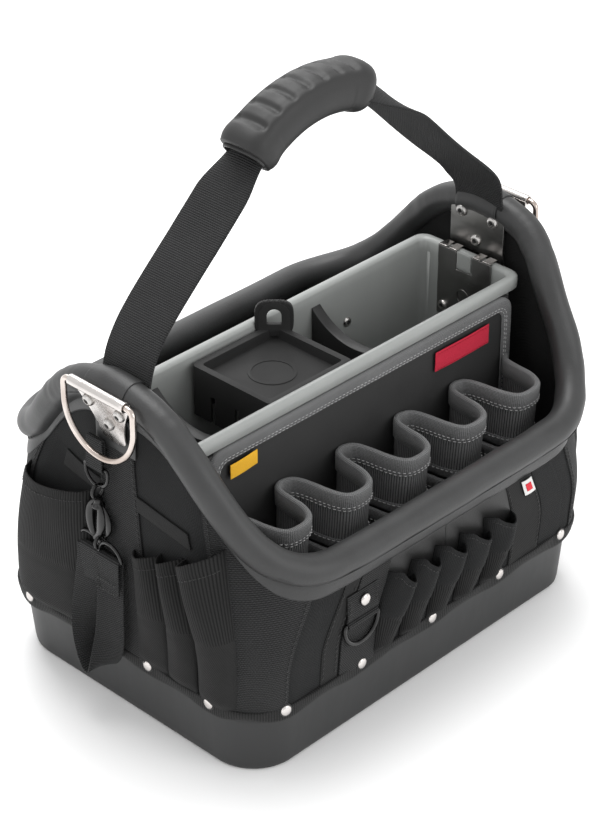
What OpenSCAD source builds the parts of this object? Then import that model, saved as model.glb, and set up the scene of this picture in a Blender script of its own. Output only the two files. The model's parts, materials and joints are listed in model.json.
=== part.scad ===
// Open-top tool carrier: moulded base, sewn walls with outer pockets, a lift-out
// centre tote with a pocket panel, a carrying handle and hanging hardware.
// Millimetres, Z up. X runs along the length, -Y is the front.
// The origin is the centre of the underside.

/* [Base and walls] */
// half length of the moulded base at the floor
base_x = 203; // [170:1:240]
// half width of the moulded base at the floor
base_y = 139; // [110:1:155]
// half length of the sewn walls, outside
wall_x = 210; // [180:1:250]
// half width of the sewn walls, outside
wall_y = 147; // [120:1:165]
// corner radius of the walls in plan
corner_r = 46; // [30:1:60]
// thickness of the sewn walls
wall_t = 4; // [2:0.5:8]
// height of the band that joins walls and base
band_z = 52; // [40:1:70]
// height of the joining band itself
band_h = 14; // [10:1:20]

/* [Rim] */
// radius of the padded rim roll
roll_r = 13; // [9:0.5:16]
// centre height of the roll along the front
front_z = 180; // [150:1:220]
// centre height of the roll along the back
back_z = 204; // [180:1:260]
// centre height of the roll at the peak of each end
peak_z = 313; // [280:1:340]
// offset of the tote, handle and end hardware from the middle, along Y
mid_y = -5; // [-10:1:10]

/* [Tote] */
// half length of the tote body
tote_x = 190; // [160:1:195]
// half width of the tote body
tote_y = 50.5; // [40:0.5:60]
// height of the tote rim
tote_z = 268.6; // [230:0.1:290]
// height of the underside of the tote
tote_floor = 6; // [5:1:60]
// wall of the tote
tote_t = 3; // [2:0.5:5]
// centre position of the divider nearer the left end
left_divider_x = -133; // [-160:1:-110]
// centre position of the divider nearer the right end
right_divider_x = 52; // [20:1:120]

/* [Tool loops on the tote] */
// spacing between the loops
loop_pitch = 68.5; // [60:0.5:75]
// position of the middle loop
loop_mid = 4; // [-20:1:20]
// outside radius of a loop
loop_r = 23; // [18:0.5:28]
// how far a loop stands off the panel
loop_out = 55; // [40:1:58]
// thickness of the loop cloth
loop_t = 3; // [2:0.5:5]

/* [Handle] */
// height of the line the handle swings about
swing_z = 327; // [320:1:340]
// width of the handle webbing
strap_w = 50.8; // [38:0.1:60]
// radius of the grip's arc
grip_arc = 117.7; // [100:0.1:140]
// angle of the grip's left end from its top
grip_left = 39.6; // [30:0.1:44]
// angle of the grip's right end from its top
grip_right = 22.5; // [18:0.1:36]
// centre height of the grip at its top
grip_z = 481; // [450:1:520]
// thickness of the grip seen from the side
grip_h = 40; // [30:1:46]
// width of the grip across the hand
grip_w = 44; // [34:1:50]

/* [Hanging hardware] */
// radius of the large ring on each end
ring_r = 38; // [30:1:42]
// wire radius of the large ring
ring_wire = 2.4; // [1.5:0.1:3.5]
// straight length of the large ring's sides
ring_leg = 18; // [10:1:30]
// position of the snap hook along the width
hook_y = 19; // [0:1:40]

/* [Hidden] */
eps = 0.01;
in_x = wall_x - wall_t;
in_y = wall_y - wall_t;
band_top = band_z + band_h;
pocket_low = band_top + 2.2;
roll_x = wall_x + 2;
roll_y = wall_y + 4;
roll_corner = corner_r + 10;
roll_quarter = 90 * roll_corner * PI / 180;
end_flat = roll_y - roll_corner;
side_flat = roll_x - roll_corner;
roll_path = end_flat + roll_quarter + side_flat;
tab_x = -98.5;
ring_x = 230.8;
ring_z = 314;
panel_y = 57.5;
panel_top = 256;
loop_top = 202;
loop_low = 150;
plate_x = 200;
tray_x0 = -94;
tray_x1 = 0;
tray_top = 262;
tray_low = 217;

cloth = [0.10, 0.10, 0.11];
webbing = [0.07, 0.07, 0.08];
moulded = [0.27, 0.28, 0.29];
vinyl = [0.14, 0.14, 0.15];
light_grey = [0.62, 0.64, 0.64];
trim_grey = [0.38, 0.39, 0.40];
nickel = [0.80, 0.79, 0.77];
steel = [0.55, 0.55, 0.56];
black_metal = [0.06, 0.06, 0.06];
rubber = [0.17, 0.17, 0.18];

// ---------- shared shapes ----------

// rounded rectangle in plan, given by half sizes
module plan(hx, hy, r) {
  union() {
    square([2 * hx, 2 * (hy - r)], center = true);
    square([2 * (hx - r), 2 * hy], center = true);
    for (sx = [-1, 1]) {
      for (sy = [-1, 1]) {
        translate([sx * (hx - r), sy * (hy - r)])
          circle(r = r, $fn = 64);
      }
    }
  }
}

// ring of even thickness in plan, t outward from the walls
module plan_ring(inner, outer) {
  difference() {
    plan(wall_x + outer, wall_y + outer, corner_r + outer);
    plan(wall_x + inner, wall_y + inner, corner_r + inner);
  }
}

// keeps one plan quarter
module quarter(sx, sy, x0, y0) {
  translate([sx > 0 ? x0 : -x0 - 300, sy > 0 ? y0 : -y0 - 300, 0])
    cube([300, 300, 400]);
}

// height of the rim's centre line, by path length from the middle of an end
function rise(s, low, mid, width) = low + (peak_z - low) / (1 + exp((s - mid) / width));
function roll_z(s, sy) = sy < 0 ? rise(s, front_z - 1, 106, 23) : rise(s, back_z, 88, 18);

// plan point by path length from the middle of the +X end towards +Y
function roll_at(s) =
  s <= end_flat ? [roll_x, s]
  : s <= end_flat + roll_quarter
    ? [side_flat + roll_corner * cos((s - end_flat) / roll_corner * 180 / PI),
       end_flat + roll_corner * sin((s - end_flat) / roll_corner * 180 / PI)]
  : [side_flat - (s - end_flat - roll_quarter), roll_y];

// centre point of the rim at s, in the quarter sx, sy
function rim_point(s, sx, sy) = [sx * roll_at(s)[0], sy * roll_at(s)[1], roll_z(s, sy)];
function rim_way(s, sx, sy) = rim_point(s + 0.5, sx, sy) - rim_point(s - 0.5, sx, sy);

// wall outline seen from an end: top edge a gap below the underside of the roll
function edge_s(y) =
  let (flat = wall_y - corner_r)
  abs(y) <= flat ? abs(y)
  : flat + (end_flat + roll_quarter - flat) * asin(min(1, (abs(y) - flat) / corner_r)) / 90;
function slope(s, y) = (roll_z(s + 1, y) - roll_z(s - 1, y)) / 2;
function edge_z(y) =
  let (s = edge_s(y)) roll_z(s, y) - (roll_r + 0.4) * sqrt(1 + pow(slope(s, y), 2));
module end_outline(low, gap) {
  span = roll_y - 0.5;
  steps = 48;
  polygon(concat(
    [[-span, low], [span, low]],
    [for (i = [0 : steps]) let (y = span - 2 * span * i / steps) [y, edge_z(y) - gap]]
  ));
}

// lays a YZ outline across the full length
module across(length) {
  rotate([90, 0, 90])
    linear_extrude(height = length, center = true)
      children();
}

// swept roll through a list of points, from direction d0 to direction d1
module sweep(points, r, d0, d1) {
  n = len(points);
  m = 14;
  dirs = [for (i = [0 : n - 1])
    let (d = i == 0 ? d0 : i == n - 1 ? d1 : points[i + 1] - points[i - 1]) d / norm(d)];
  sides = [for (i = [0 : n - 1])
    let (c = cross(dirs[i], [0, 0, 1])) c / norm(c)];
  ups = [for (i = [0 : n - 1]) cross(sides[i], dirs[i])];
  verts = [for (i = [0 : n - 1]) for (k = [0 : m - 1])
    points[i] + r * cos(360 * k / m) * sides[i] + r * sin(360 * k / m) * ups[i]];
  skin = [for (i = [0 : n - 2]) for (k = [0 : m - 1])
    [i * m + k, i * m + (k + 1) % m, (i + 1) * m + (k + 1) % m, (i + 1) * m + k]];
  caps = [[for (k = [m - 1 : -1 : 0]) k], [for (k = [0 : m - 1]) (n - 1) * m + k]];
  polyhedron(verts, concat(skin, caps), convexity = 8);
}

// bulged pocket outline: w wide, d deep, t thick, opening towards -Y from the origin line
module bulge(w, d, t) {
  r = (w * w / 4 + d * d) / (2 * d);
  difference() {
    intersection() {
      translate([0, r - d])
        circle(r = r, $fn = 96);
      translate([-w / 2, -d])
        square([w, d]);
    }
    translate([0, r - d])
      circle(r = r - t, $fn = 96);
  }
}
module bulge_floor(w, d) {
  r = (w * w / 4 + d * d) / (2 * d);
  intersection() {
    translate([0, r - d])
      circle(r = r, $fn = 96);
    translate([-w / 2, -d])
      square([w, d]);
  }
}

// sewn pocket on a wall: slanted mouth from z0 at -X to z1 at +X
module pocket(w, d, z0, z1) {
  t = 1.6;
  difference() {
    union() {
      translate([0, 0, pocket_low])
        linear_extrude(height = 3)
          bulge_floor(w, d);
      translate([0, 0, pocket_low])
        linear_extrude(height = max(z0, z1) - pocket_low)
          bulge(w, d, t);
    }
    translate([0, 0, 0])
      rotate([90, 0, 0])
        linear_extrude(height = 200, center = true)
          polygon([[-w, z0 - (z1 - z0) / 2], [w, z1 + (z1 - z0) / 2], [w, 400], [-w, 400]]);
  }
}

// wire ring: straight bar along Y at the origin, hanging down
module d_ring(r, leg, wire) {
  rotate([90, 0, 0])
    cylinder(r = wire, h = 2 * r, center = true, $fn = 32);
  for (s = [-1, 1]) {
    translate([0, s * r, 0])
      sphere(r = wire, $fn = 32);
    translate([0, s * r, -leg])
      cylinder(r = wire, h = leg, $fn = 32);
  }
  translate([0, 0, -leg])
    rotate([0, 90, 0])
      rotate([0, 0, -90])
        rotate_extrude(angle = 180, $fn = 64)
          translate([r, 0])
            circle(r = wire, $fn = 24);
}

// low domed rivet or screw head standing on the XY plane
module head(r, h) {
  cylinder(r = r, h = h * 0.55, $fn = 32);
  translate([0, 0, h * 0.55])
    cylinder(r = r * 0.72, h = h * 0.45, $fn = 32);
}
module socket_head(r, h) {
  difference() {
    head(r, h);
    translate([0, 0, h - 1.2])
      cylinder(r = r * 0.32, h = 2, $fn = 6);
  }
}

// ---------- fixed bag ----------

module base_tub() {
  color(moulded)
    difference() {
      hull() {
        linear_extrude(height = 1)
          plan(base_x, base_y, 40);
        translate([0, 0, band_top - 3])
          linear_extrude(height = 1)
            plan(in_x - 0.5, in_y - 0.5, 42);
      }
      hull() {
        translate([0, 0, 4])
          linear_extrude(height = 1)
            plan(base_x - 4, base_y - 4, 36);
        translate([0, 0, band_top])
          linear_extrude(height = 1)
            plan(in_x - 4, in_y - 4, 38);
      }
    }
}

module joining_band() {
  color(webbing)
    translate([0, 0, band_z])
      difference() {
        linear_extrude(height = band_h)
          plan_ring(-3.4, 1.4);
        translate([0, 0, band_h - 3])
          linear_extrude(height = 4)
            plan(wall_x, wall_y, corner_r);
      }
}

// rivet on the band of one side, at a place along it, also round its corners
module band_rivet(along, half, out) {
  a = abs(along) > half ? asin((abs(along) - half) / (corner_r + 1.41)) : 0;
  translate([along, corner_r - out - (corner_r + 1.41) * cos(a), band_top - 3])
    rotate([90, 0, sign(along) * a])
      head(4.6, 2);
}
module band_rivets() {
  color(nickel) {
    for (turn = [0, 180]) {
      rotate([0, 0, turn])
        for (i = [-2 : 2]) {
          band_rivet(i * 84 - 8, wall_x - corner_r, wall_y);
        }
    }
    for (y = [-98.5 : 68 : 106]) {
      rotate([0, 0, 90])
        band_rivet(y, wall_y - corner_r, wall_x);
      rotate([0, 0, -90])
        band_rivet(-y, wall_y - corner_r, wall_x);
    }
  }
}

module side_wall(sy, top) {
  color(cloth)
    translate([-(wall_x - corner_r), sy > 0 ? in_y : -wall_y, band_top - 3])
      cube([2 * (wall_x - corner_r), wall_t, top - band_top + 3]);
}
module front_wall() {
  side_wall(-1, front_z - 15);
}
module back_wall() {
  side_wall(1, back_z - 14);
}

module end_wall(sx) {
  color(cloth)
    intersection() {
      translate([sx > 0 ? in_x : -wall_x, -(wall_y - corner_r), band_top - 3])
        cube([wall_t, 2 * (wall_y - corner_r), 300]);
      across(500)
        end_outline(0, 0.8);
    }
}
module left_wall() {
  end_wall(-1);
}
module right_wall() {
  end_wall(1);
}

module wall_corners() {
  color(cloth)
    for (sx = [-1, 1]) {
      for (sy = [-1, 1]) {
        intersection() {
          translate([0, 0, band_top - 3])
            linear_extrude(height = 300)
              plan_ring(-wall_t, 0);
          quarter(sx, sy, wall_x - corner_r, wall_y - corner_r);
          across(500)
            end_outline(0, 1.2);
        }
      }
    }
}

module corner_webbing() {
  color(webbing)
    for (sx = [-1, 1]) {
      for (sy = [-1, 1]) {
        intersection() {
          translate([0, 0, band_top])
            linear_extrude(height = 300)
              plan_ring(0, 1.4);
          quarter(sx, sy, 177, wall_y - 27);
          across(500)
            end_outline(0, 17);
        }
      }
    }
}

module front_strip(x, w) {
  translate([x - w / 2, -wall_y - 1.4, band_top])
    cube([w, 1.4, 151 - band_top]);
}
module wall_webbing() {
  color(webbing) {
    front_strip(106.5, 37);
    front_strip(-133, 10);
    translate([-163, -wall_y - 1.4, 147.8])
      cube([326, 1.4, 3.4]);
    rotate([0, 0, 180]) {
      front_strip(-58.5, 38);
      front_strip(52, 30);
    }
  }
}

module end_webbing() {
  color(webbing)
    translate([0, mid_y, 0])
    for (sx = [-1, 1]) {
      translate([sx > 0 ? wall_x : -wall_x - 1.4, -25.4, band_top])
        cube([1.4, 50.8, 272 - band_top]);
    }
}

function quarter_run(sx, sy, s0, s1, n) =
  [for (i = [0 : n]) rim_point(s0 + (s1 - s0) * i / n, sx, sy)];
function backwards(list) = [for (i = [len(list) - 1 : -1 : 0]) list[i]];

module rim_side(sy) {
  start = end_flat + 8.06;
  left = quarter_run(-1, sy, start, roll_path - 1, 22);
  right = backwards(quarter_run(1, sy, start, roll_path - 1, 22));
  color(vinyl)
    sweep(concat(left, right), roll_r, rim_way(start, -1, sy), -rim_way(start, 1, sy));
}
module rim_roll_front() {
  rim_side(-1);
}
module rim_roll_back() {
  rim_side(1);
}
module rim_end(sx) {
  stop = end_flat + 8;
  front = backwards(quarter_run(sx, -1, 2, stop, 16));
  back = quarter_run(sx, 1, 2, stop, 16);
  color(vinyl)
    difference() {
      sweep(concat(front, back), roll_r, -rim_way(stop, sx, -1), rim_way(stop, sx, 1));
      plate_seat(sx);
    }
}
// room inside the roll for the strap plate and the handle webbing
module plate_seat(sx) {
  translate([sx > 0 ? 190 : -203.4, mid_y - 31, 260])
    cube([13.4, 62, 80]);
}
module rim_roll_left() {
  rim_end(-1);
}
module rim_roll_right() {
  rim_end(1);
}

module rim_facing() {
  color(vinyl) {
    for (sy = [-1, 1]) {
      low = (sy < 0 ? front_z - 1.6 : back_z) - 27;
      translate([-(wall_x - corner_r), sy > 0 ? wall_y : -wall_y - 1.6, low])
        cube([2 * (wall_x - corner_r), 1.6, 14]);
    }
    difference() {
      intersection() {
        linear_extrude(height = 400)
          plan_ring(0, 1.6);
        across(500)
          end_outline(0, 1.2);
        union() {
          for (sx = [-1, 1]) {
            translate([sx > 0 ? wall_x - corner_r : -wall_x + corner_r - 100, -200, 0])
              cube([100, 400, 400]);
          }
        }
      }
      across(600)
        end_outline(0, 14.5);
    }
  }
}

module roll_wraps() {
  color(vinyl)
    translate([0, mid_y, 0])
    for (sx = [-1, 1]) {
      translate([sx * roll_x, 0, peak_z - 0.6])
        rotate([90, 0, 0])
          difference() {
            cylinder(r = roll_r + 1.3, h = 60, center = true, $fn = 48);
            cylinder(r = roll_r + 0.5, h = 62, center = true, $fn = 48);
            translate([0, -20, 0])
              cube([60, 32, 80], center = true);
            translate([-sx * 23, 0, 0])
              cube([28, 60, 80], center = true);
          }
    }
}

module pocket_row(list, sy) {
  color(cloth)
    for (p = list) {
      translate([p[0], sy * wall_y, 0])
        mirror([0, sy > 0 ? 1 : 0, 0])
          pocket(p[1], p[2], p[3], p[4]);
    }
}
module front_pockets() {
  pocket_row([[-62, 31, 15, 142, 127], [-29.5, 31, 15, 139, 127], [3, 31, 15, 137, 125],
    [35.5, 31, 15, 134, 121], [68, 31, 15, 134, 123]], -1);
}
module back_pockets() {
  pocket_row([[-104, 70, 15, 150, 150], [0, 70, 15, 150, 150], [104, 44, 15, 150, 150]], 1);
}

module end_pockets(sx) {
  color(cloth)
    difference() {
      for (p = [[-105, 36, 20, 201, 188], [-69, 32, 16, 192, 180], [-40, 16, 10, 178, 172],
        [74, 84, 17, 204, 186]]) {
        translate([sx * wall_x, p[0], 0])
          rotate([0, 0, sx < 0 ? -90 : 90])
            mirror([sx < 0 ? 1 : 0, 0, 0])
              pocket(p[1], p[2], p[3], p[4]);
      }
      linear_extrude(height = 400)
        plan(wall_x + 0.2, wall_y + 0.2, corner_r + 0.2);
    }
}
module left_end_pockets() {
  end_pockets(-1);
}
module right_end_pockets() {
  end_pockets(1);
}

module front_ring_tab() {
  color(webbing) {
    translate([-120, -wall_y - 1.4, band_top])
      cube([42, 1.4, 80]);
    difference() {
      union() {
        translate([tab_x - 15, -wall_y - 7.4, 114])
          cube([30, 6, 26]);
        translate([tab_x - 15, -wall_y - 4.4, 114])
          rotate([0, 90, 0])
            cylinder(r = 3, h = 30, $fn = 48);
      }
      translate([tab_x - 30, -wall_y - 4.4, 114])
        rotate([0, 90, 0])
          cylinder(r = 1.95, h = 60, $fn = 48);
    }
  }
}
module tab_rivet() {
  color(nickel)
    translate([tab_x, -wall_y - 7.41, 131])
      rotate([90, 0, 0])
        head(5, 2);
}
module size_tag() {
  color([0.85, 0.85, 0.83])
    translate([108, -wall_y - 2, 134])
      cube([15, 0.6, 15]);
}

function shield_half(v) = 13 + 17 * pow(v, 1.6);
module shield() {
  polygon(concat(
    [for (i = [0 : 10]) [-shield_half(i / 10), 5 + 42 * i / 10]],
    [for (i = [10 : -1 : 0]) [shield_half(i / 10), 5 + 42 * i / 10]],
    [[9, 1.2], [0, 0], [-9, 1.2]]
  ));
}
module on_plate(sx) {
  translate([sx * 213.6, 0, 264])
    rotate([0, sx * 15.5, 0])
      rotate([90, 0, sx * 90])
        children();
}
module ring_plate(sx) {
  color(nickel)
    translate([0, mid_y, 0]) {
    difference() {
      union() {
        on_plate(sx)
          linear_extrude(height = 1.5)
            shield();
        translate([sx * ring_x, 0, ring_z])
          rotate([90, 0, 0])
            cylinder(r = 4.4, h = 60, center = true, $fn = 48);
      }
      translate([sx * ring_x, 0, ring_z])
        rotate([90, 0, 0])
          cylinder(r = 2.75, h = 90, center = true, $fn = 48);
    }
  }
}
module left_ring_plate() {
  ring_plate(-1);
}
module right_ring_plate() {
  ring_plate(1);
}
module ring_plate_screws() {
  color(steel)
    translate([0, mid_y, 0])
    for (sx = [-1, 1]) {
      for (p = [[-17, 37], [17, 37], [0, 20]]) {
        on_plate(sx)
          translate([p[0], p[1], 1.5])
            socket_head(5.2, 3);
      }
    }
}

module strap_plate(sx) {
  color(steel)
    translate([0, mid_y, 0])
    translate([sx * (plate_x + 0.8), 0, 288])
      rotate([0, 90, 0])
        linear_extrude(height = 1.6, center = true)
          plan(22, 29, 4);
}
module left_strap_plate() {
  strap_plate(-1);
}
module right_strap_plate() {
  strap_plate(1);
}
module strap_plate_screws() {
  color(steel)
    translate([0, mid_y, 0])
    for (sx = [-1, 1]) {
      for (p = [[-17, 300], [17, 300], [0, 277]]) {
        translate([sx * plate_x, p[0], p[1]])
          rotate([0, -sx * 90, 0])
            socket_head(5.2, 2.8);
      }
    }
}
module strap_anchors() {
  color(webbing)
    translate([0, mid_y, 0])
    for (sx = [-1, 1]) {
      translate([sx > 0 ? plate_x + 1.6 : -in_x, -29, 236])
        cube([in_x - plate_x - 1.6, 58, 54]);
    }
}

// ---------- rings, hook and tape strap ----------

module left_d_ring() {
  color(nickel)
    translate([0, mid_y, 0])
    translate([-ring_x, 0, ring_z])
      d_ring(ring_r, ring_leg, ring_wire);
}
module right_d_ring() {
  color(nickel)
    translate([0, mid_y, 0])
    translate([ring_x, 0, ring_z])
      d_ring(ring_r, ring_leg, ring_wire);
}
module small_d_ring() {
  color(black_metal)
    translate([tab_x, -wall_y - 4.4, 114])
      rotate([0, 0, 90])
        d_ring(18, 3, 1.7);
}

module hook_tab() {
  color(webbing)
    translate([0, mid_y, 0])
    translate([0, hook_y, 0])
      difference() {
        union() {
          translate([hook_x - 3, -9, 244])
            cube([-wall_x - 1.6 - hook_x + 3, 18, 18]);
          translate([hook_x - 3, -9, 236])
            cube([6, 18, 10]);
          translate([hook_x, 0, 236])
            rotate([90, 0, 0])
              cylinder(r = 3, h = 18, center = true, $fn = 48);
        }
        translate([hook_x, 0, 236])
          rotate([90, 0, 0])
            cylinder(r = 1.65, h = 30, center = true, $fn = 48);
      }
}
module split_ring() {
  color(black_metal)
    translate([0, mid_y, 0])
    translate([hook_x, hook_y, 236])
      d_ring(12, 8.3, 1.35);
}

hook_x = -wall_x - 9.2;
eye_z = 213.4;
module snap_hook() {
  color(black_metal)
    translate([0, mid_y, 0])
    translate([hook_x, hook_y, 0]) {
      translate([0, 0, eye_z])
        rotate([90, 0, 0])
          rotate_extrude($fn = 48)
            translate([5.4, 0])
              circle(r = 1.5, $fn = 24);
      translate([0, 0, 201])
        cylinder(r = 3.6, h = 6.6, $fn = 48);
      translate([0, 0, 198.6])
        cylinder(r = 5, h = 2.6, $fn = 48);
      translate([0, 7, 172.5])
        cylinder(r = 2.3, h = 20, $fn = 32);
      translate([0, 0, 192.5])
        rotate([0, 90, 0])
          rotate([0, 0, 90])
            rotate_extrude(angle = 90, $fn = 64)
              translate([7, 0])
                circle(r = 2.3, $fn = 24);
      translate([0, 0, 172.5])
        rotate([0, 90, 0])
          rotate([0, 0, -90])
            rotate_extrude(angle = 180, $fn = 64)
              translate([7, 0])
                circle(r = 2.3, $fn = 24);
      translate([0, -7, 172.5])
        cylinder(r = 2.3, h = 4, $fn = 32);
    }
}
module hook_gate() {
  color(black_metal)
    translate([0, mid_y, 0])
    translate([hook_x, hook_y, 0]) {
      translate([-1.1, -7.9, 177.2])
        cube([2.2, 1.8, 17.2]);
      translate([0, -6.9, 194.8])
        rotate([0, 90, 0])
          cylinder(r = 1.6, h = 3, center = true, $fn = 32);
    }
}
module tape_ring() {
  color(black_metal)
    translate([0, mid_y, 0])
    translate([hook_x, hook_y, 0]) {
      translate([0, 0, 164.6])
        rotate([90, 0, 0])
          rotate_extrude($fn = 48)
            translate([5.2, 0])
              circle(r = 1.4, $fn = 24);
      translate([0, 0, 158.2])
        rotate([90, 0, 0])
          cylinder(r = 1.6, h = 34, center = true, $fn = 32);
      for (s = [-1, 1]) {
        translate([0, s * 17, 158.2])
          sphere(r = 1.6, $fn = 32);
      }
    }
}
module tape_strap() {
  color(webbing)
    translate([0, mid_y, 0])
    translate([hook_x, hook_y, 0]) {
      difference() {
        union() {
          translate([-5, -12.5, 55])
            cube([10, 25, 101.4]);
          translate([0, 0, 55])
            rotate([90, 0, 0])
              cylinder(r = 5, h = 25, center = true, $fn = 48);
          translate([0, 0, 156.4])
            rotate([90, 0, 0])
              cylinder(r = 5, h = 25, center = true, $fn = 48);
        }
        translate([-3, -20, 55])
          cube([6, 40, 90]);
        translate([0, 0, 55])
          rotate([90, 0, 0])
            cylinder(r = 3, h = 40, center = true, $fn = 48);
        translate([0, 0, 158.2])
          rotate([90, 0, 0])
            cylinder(r = 1.7, h = 40, center = true, $fn = 32);
        translate([0, 0, 161.4])
          cube([20, 8, 16], center = true);
      }
    }
}

// ---------- handle ----------

module grip_section(h, w, r) {
  square([h, w - 2 * r], center = true);
  square([h - 2 * r, w], center = true);
  for (a = [-1, 1]) {
    for (b = [-1, 1]) {
      translate([a * (h / 2 - r), b * (w / 2 - r)])
        circle(r = r, $fn = 48);
    }
  }
}
module grip_bend(more) {
  translate([0, 0, grip_z - grip_arc])
    rotate([90, 0, 0])
      rotate([0, 0, 90 - grip_right - more])
        rotate_extrude(angle = grip_left + grip_right + 2 * more, $fn = 128)
          translate([grip_arc, 0])
            children();
}
module grip() {
  color(rubber)
    translate([0, mid_y, 0])
    difference() {
      grip_bend(0)
        grip_section(grip_h, grip_w, 14);
      grip_bend(2)
        grip_section(22, 38, 8);
      for (i = [-3 : 4]) {
        translate([0, 0, grip_z - grip_arc])
          rotate([0, i * 6.6 - 11.8, 0])
            translate([0, 0, grip_arc + grip_h / 2])
              rotate([90, 0, 0])
                cylinder(r = 2, h = 26, center = true, $fn = 24);
      }
    }
}
module grip_liner() {
  color(black_metal)
    translate([0, mid_y, 0])
    difference() {
      grip_bend(1.6)
        grip_section(21.6, 37.6, 7.8);
      grip_bend(4)
        grip_section(16, 32, 5);
    }
}

module handle_strap(sx) {
  end = sx > 0 ? grip_right : grip_left;
  run_x = plate_x - 1 - grip_arc * sin(end) + 6;
  run_z = grip_z - grip_arc * (1 - cos(end)) + 2 - 331;
  length = norm([run_x, run_z]);
  color(webbing)
    translate([0, mid_y, 0]) {
    intersection() {
      translate([sx > 0 ? plate_x - 2.6 : -plate_x + 0.4, 0, swing_z])
        rotate([0, 90, 0])
          cylinder(r = strap_w / 2, h = 2.2, $fn = 96);
      translate([-300, -50, 0])
        cube([600, 100, 331]);
    }
    translate([sx * (plate_x - 1.5), 0, 330.4])
      rotate([0, -sx * atan(run_x / run_z), 0])
        translate([-1.1, -strap_w / 2, 0])
          cube([2.2, strap_w, length - 16]);
    translate([sx * (plate_x - 1.5), 0, 330.4])
      rotate([0, -sx * atan(run_x / run_z), 0])
        translate([-1.1, -13.5, length - 18])
          cube([2.2, 27, 22]);
  }
}
module left_handle_strap() {
  handle_strap(-1);
}
module right_handle_strap() {
  handle_strap(1);
}

// ---------- tote ----------

module tote_bin() {
  color(light_grey)
    translate([0, mid_y, 0])
    difference() {
      union() {
        translate([0, 0, tote_floor])
          linear_extrude(height = tote_z - tote_floor)
            plan(tote_x, tote_y, 12);
        translate([0, 0, tote_z - 11.6])
          linear_extrude(height = 11.6)
            plan(tote_x + 5.5, tote_y + 6, 9);
      }
      translate([0, 0, tote_floor + tote_t])
        linear_extrude(height = 300)
          plan(tote_x - tote_t, tote_y - tote_t, 9);
    }
}

module hook_plate(sx) {
  inner = tote_x - tote_t;
  color(steel)
    translate([0, mid_y, 0]) {
    difference() {
      translate([sx > 0 ? inner - 1.7 : -inner + 0.1, -29, 203])
        cube([1.6, 58, tote_z - 203 + 0.1]);
      translate([sx * inner, 0, tote_z - 8])
        cube([12, 18, 17], center = true);
    }
    for (y = [-24, 14]) {
      translate([sx > 0 ? inner - 1.7 : -tote_x - 5.4, y, tote_z + 0.1])
        cube([10.1, 10, 1.5]);
    }
  }
}
module left_hook_plate() {
  hook_plate(-1);
}
module right_hook_plate() {
  hook_plate(1);
}
module tote_screws() {
  inner = tote_x - tote_t;
  color(steel)
    translate([0, mid_y, 0]) {
    for (sx = [-1, 1]) {
      for (y = [-22, 22]) {
        translate([sx * (inner - 1.7), y, 212])
          rotate([0, -sx * 90, 0])
            head(4.6, 2.2);
      }
    }
    for (p = [[left_divider_x + 30, 206], [right_divider_x + 38, 224]]) {
      for (sy = [-1, 1]) {
        translate([p[0], sy * (tote_y - tote_t), p[1]])
          rotate([sy * 90, 0, 0])
            head(4.2, 2);
      }
    }
  }
}

module pocket_panel() {
  color(cloth)
    translate([0, mid_y, 0])
    translate([-174, -panel_y, 30])
      cube([352, panel_y - tote_y - 0.4, panel_top - 30]);
}
module panel_binding() {
  color(trim_grey)
    translate([0, mid_y, 0])
    difference() {
      translate([2, -panel_y - 0.02, 142.5])
        rotate([90, 0, 0])
          linear_extrude(height = 1.6)
            difference() {
              plan(178, 114, 14);
              plan(168, 104, 6);
            }
      translate([-200, -100, 20])
        cube([400, 60, 40]);
    }
}

module loop_shape(grow) {
  translate([0, -panel_y - loop_out + loop_r])
    circle(r = loop_r + grow, $fn = 64);
  translate([-loop_r - grow, -panel_y - loop_out + loop_r])
    square([2 * (loop_r + grow), loop_out - loop_r]);
}
module loop_ring(outer, inner) {
  difference() {
    loop_shape(outer);
    loop_shape(inner);
  }
}
module each_loop() {
  for (i = [-2 : 2]) {
    translate([loop_mid + i * loop_pitch, 0, 0])
      children();
  }
}
module tool_loops() {
  color(cloth)
    translate([0, mid_y, 0])
    each_loop()
      translate([0, 0, loop_low])
        linear_extrude(height = loop_top - loop_low)
          loop_ring(0, -loop_t);
}
module loop_binding() {
  color(trim_grey)
    translate([0, mid_y, 0])
    each_loop()
      translate([0, 0, loop_top - 17])
        linear_extrude(height = 17) {
          loop_ring(0.8, 0.02);
          loop_ring(-loop_t - 0.02, -loop_t - 0.8);
        }
}
module lower_pockets() {
  color(cloth)
    translate([0, mid_y, 0])
    each_loop() {
      translate([0, 0, 62])
        linear_extrude(height = 87)
          loop_ring(3, 1);
      translate([0, 0, 60])
        linear_extrude(height = 2)
          loop_shape(3);
    }
}
module lower_pocket_binding() {
  color(trim_grey)
    translate([0, mid_y, 0])
    each_loop()
      translate([0, 0, 138])
        linear_extrude(height = 11) {
          loop_ring(3.8, 3.02);
          loop_ring(0.98, 0.9 - 0.6);
        }
}

module long_tag() {
  color([0.72, 0.10, 0.13])
    translate([0, mid_y, 0])
    translate([82, -panel_y - 1, 222])
      cube([67, 0.9, 18]);
}
module short_tag() {
  color([0.93, 0.74, 0.22])
    translate([0, mid_y, 0])
    translate([-154, -panel_y - 2.6, 229])
      cube([29, 0.9, 12]);
}

// ---------- loose inserts ----------

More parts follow.
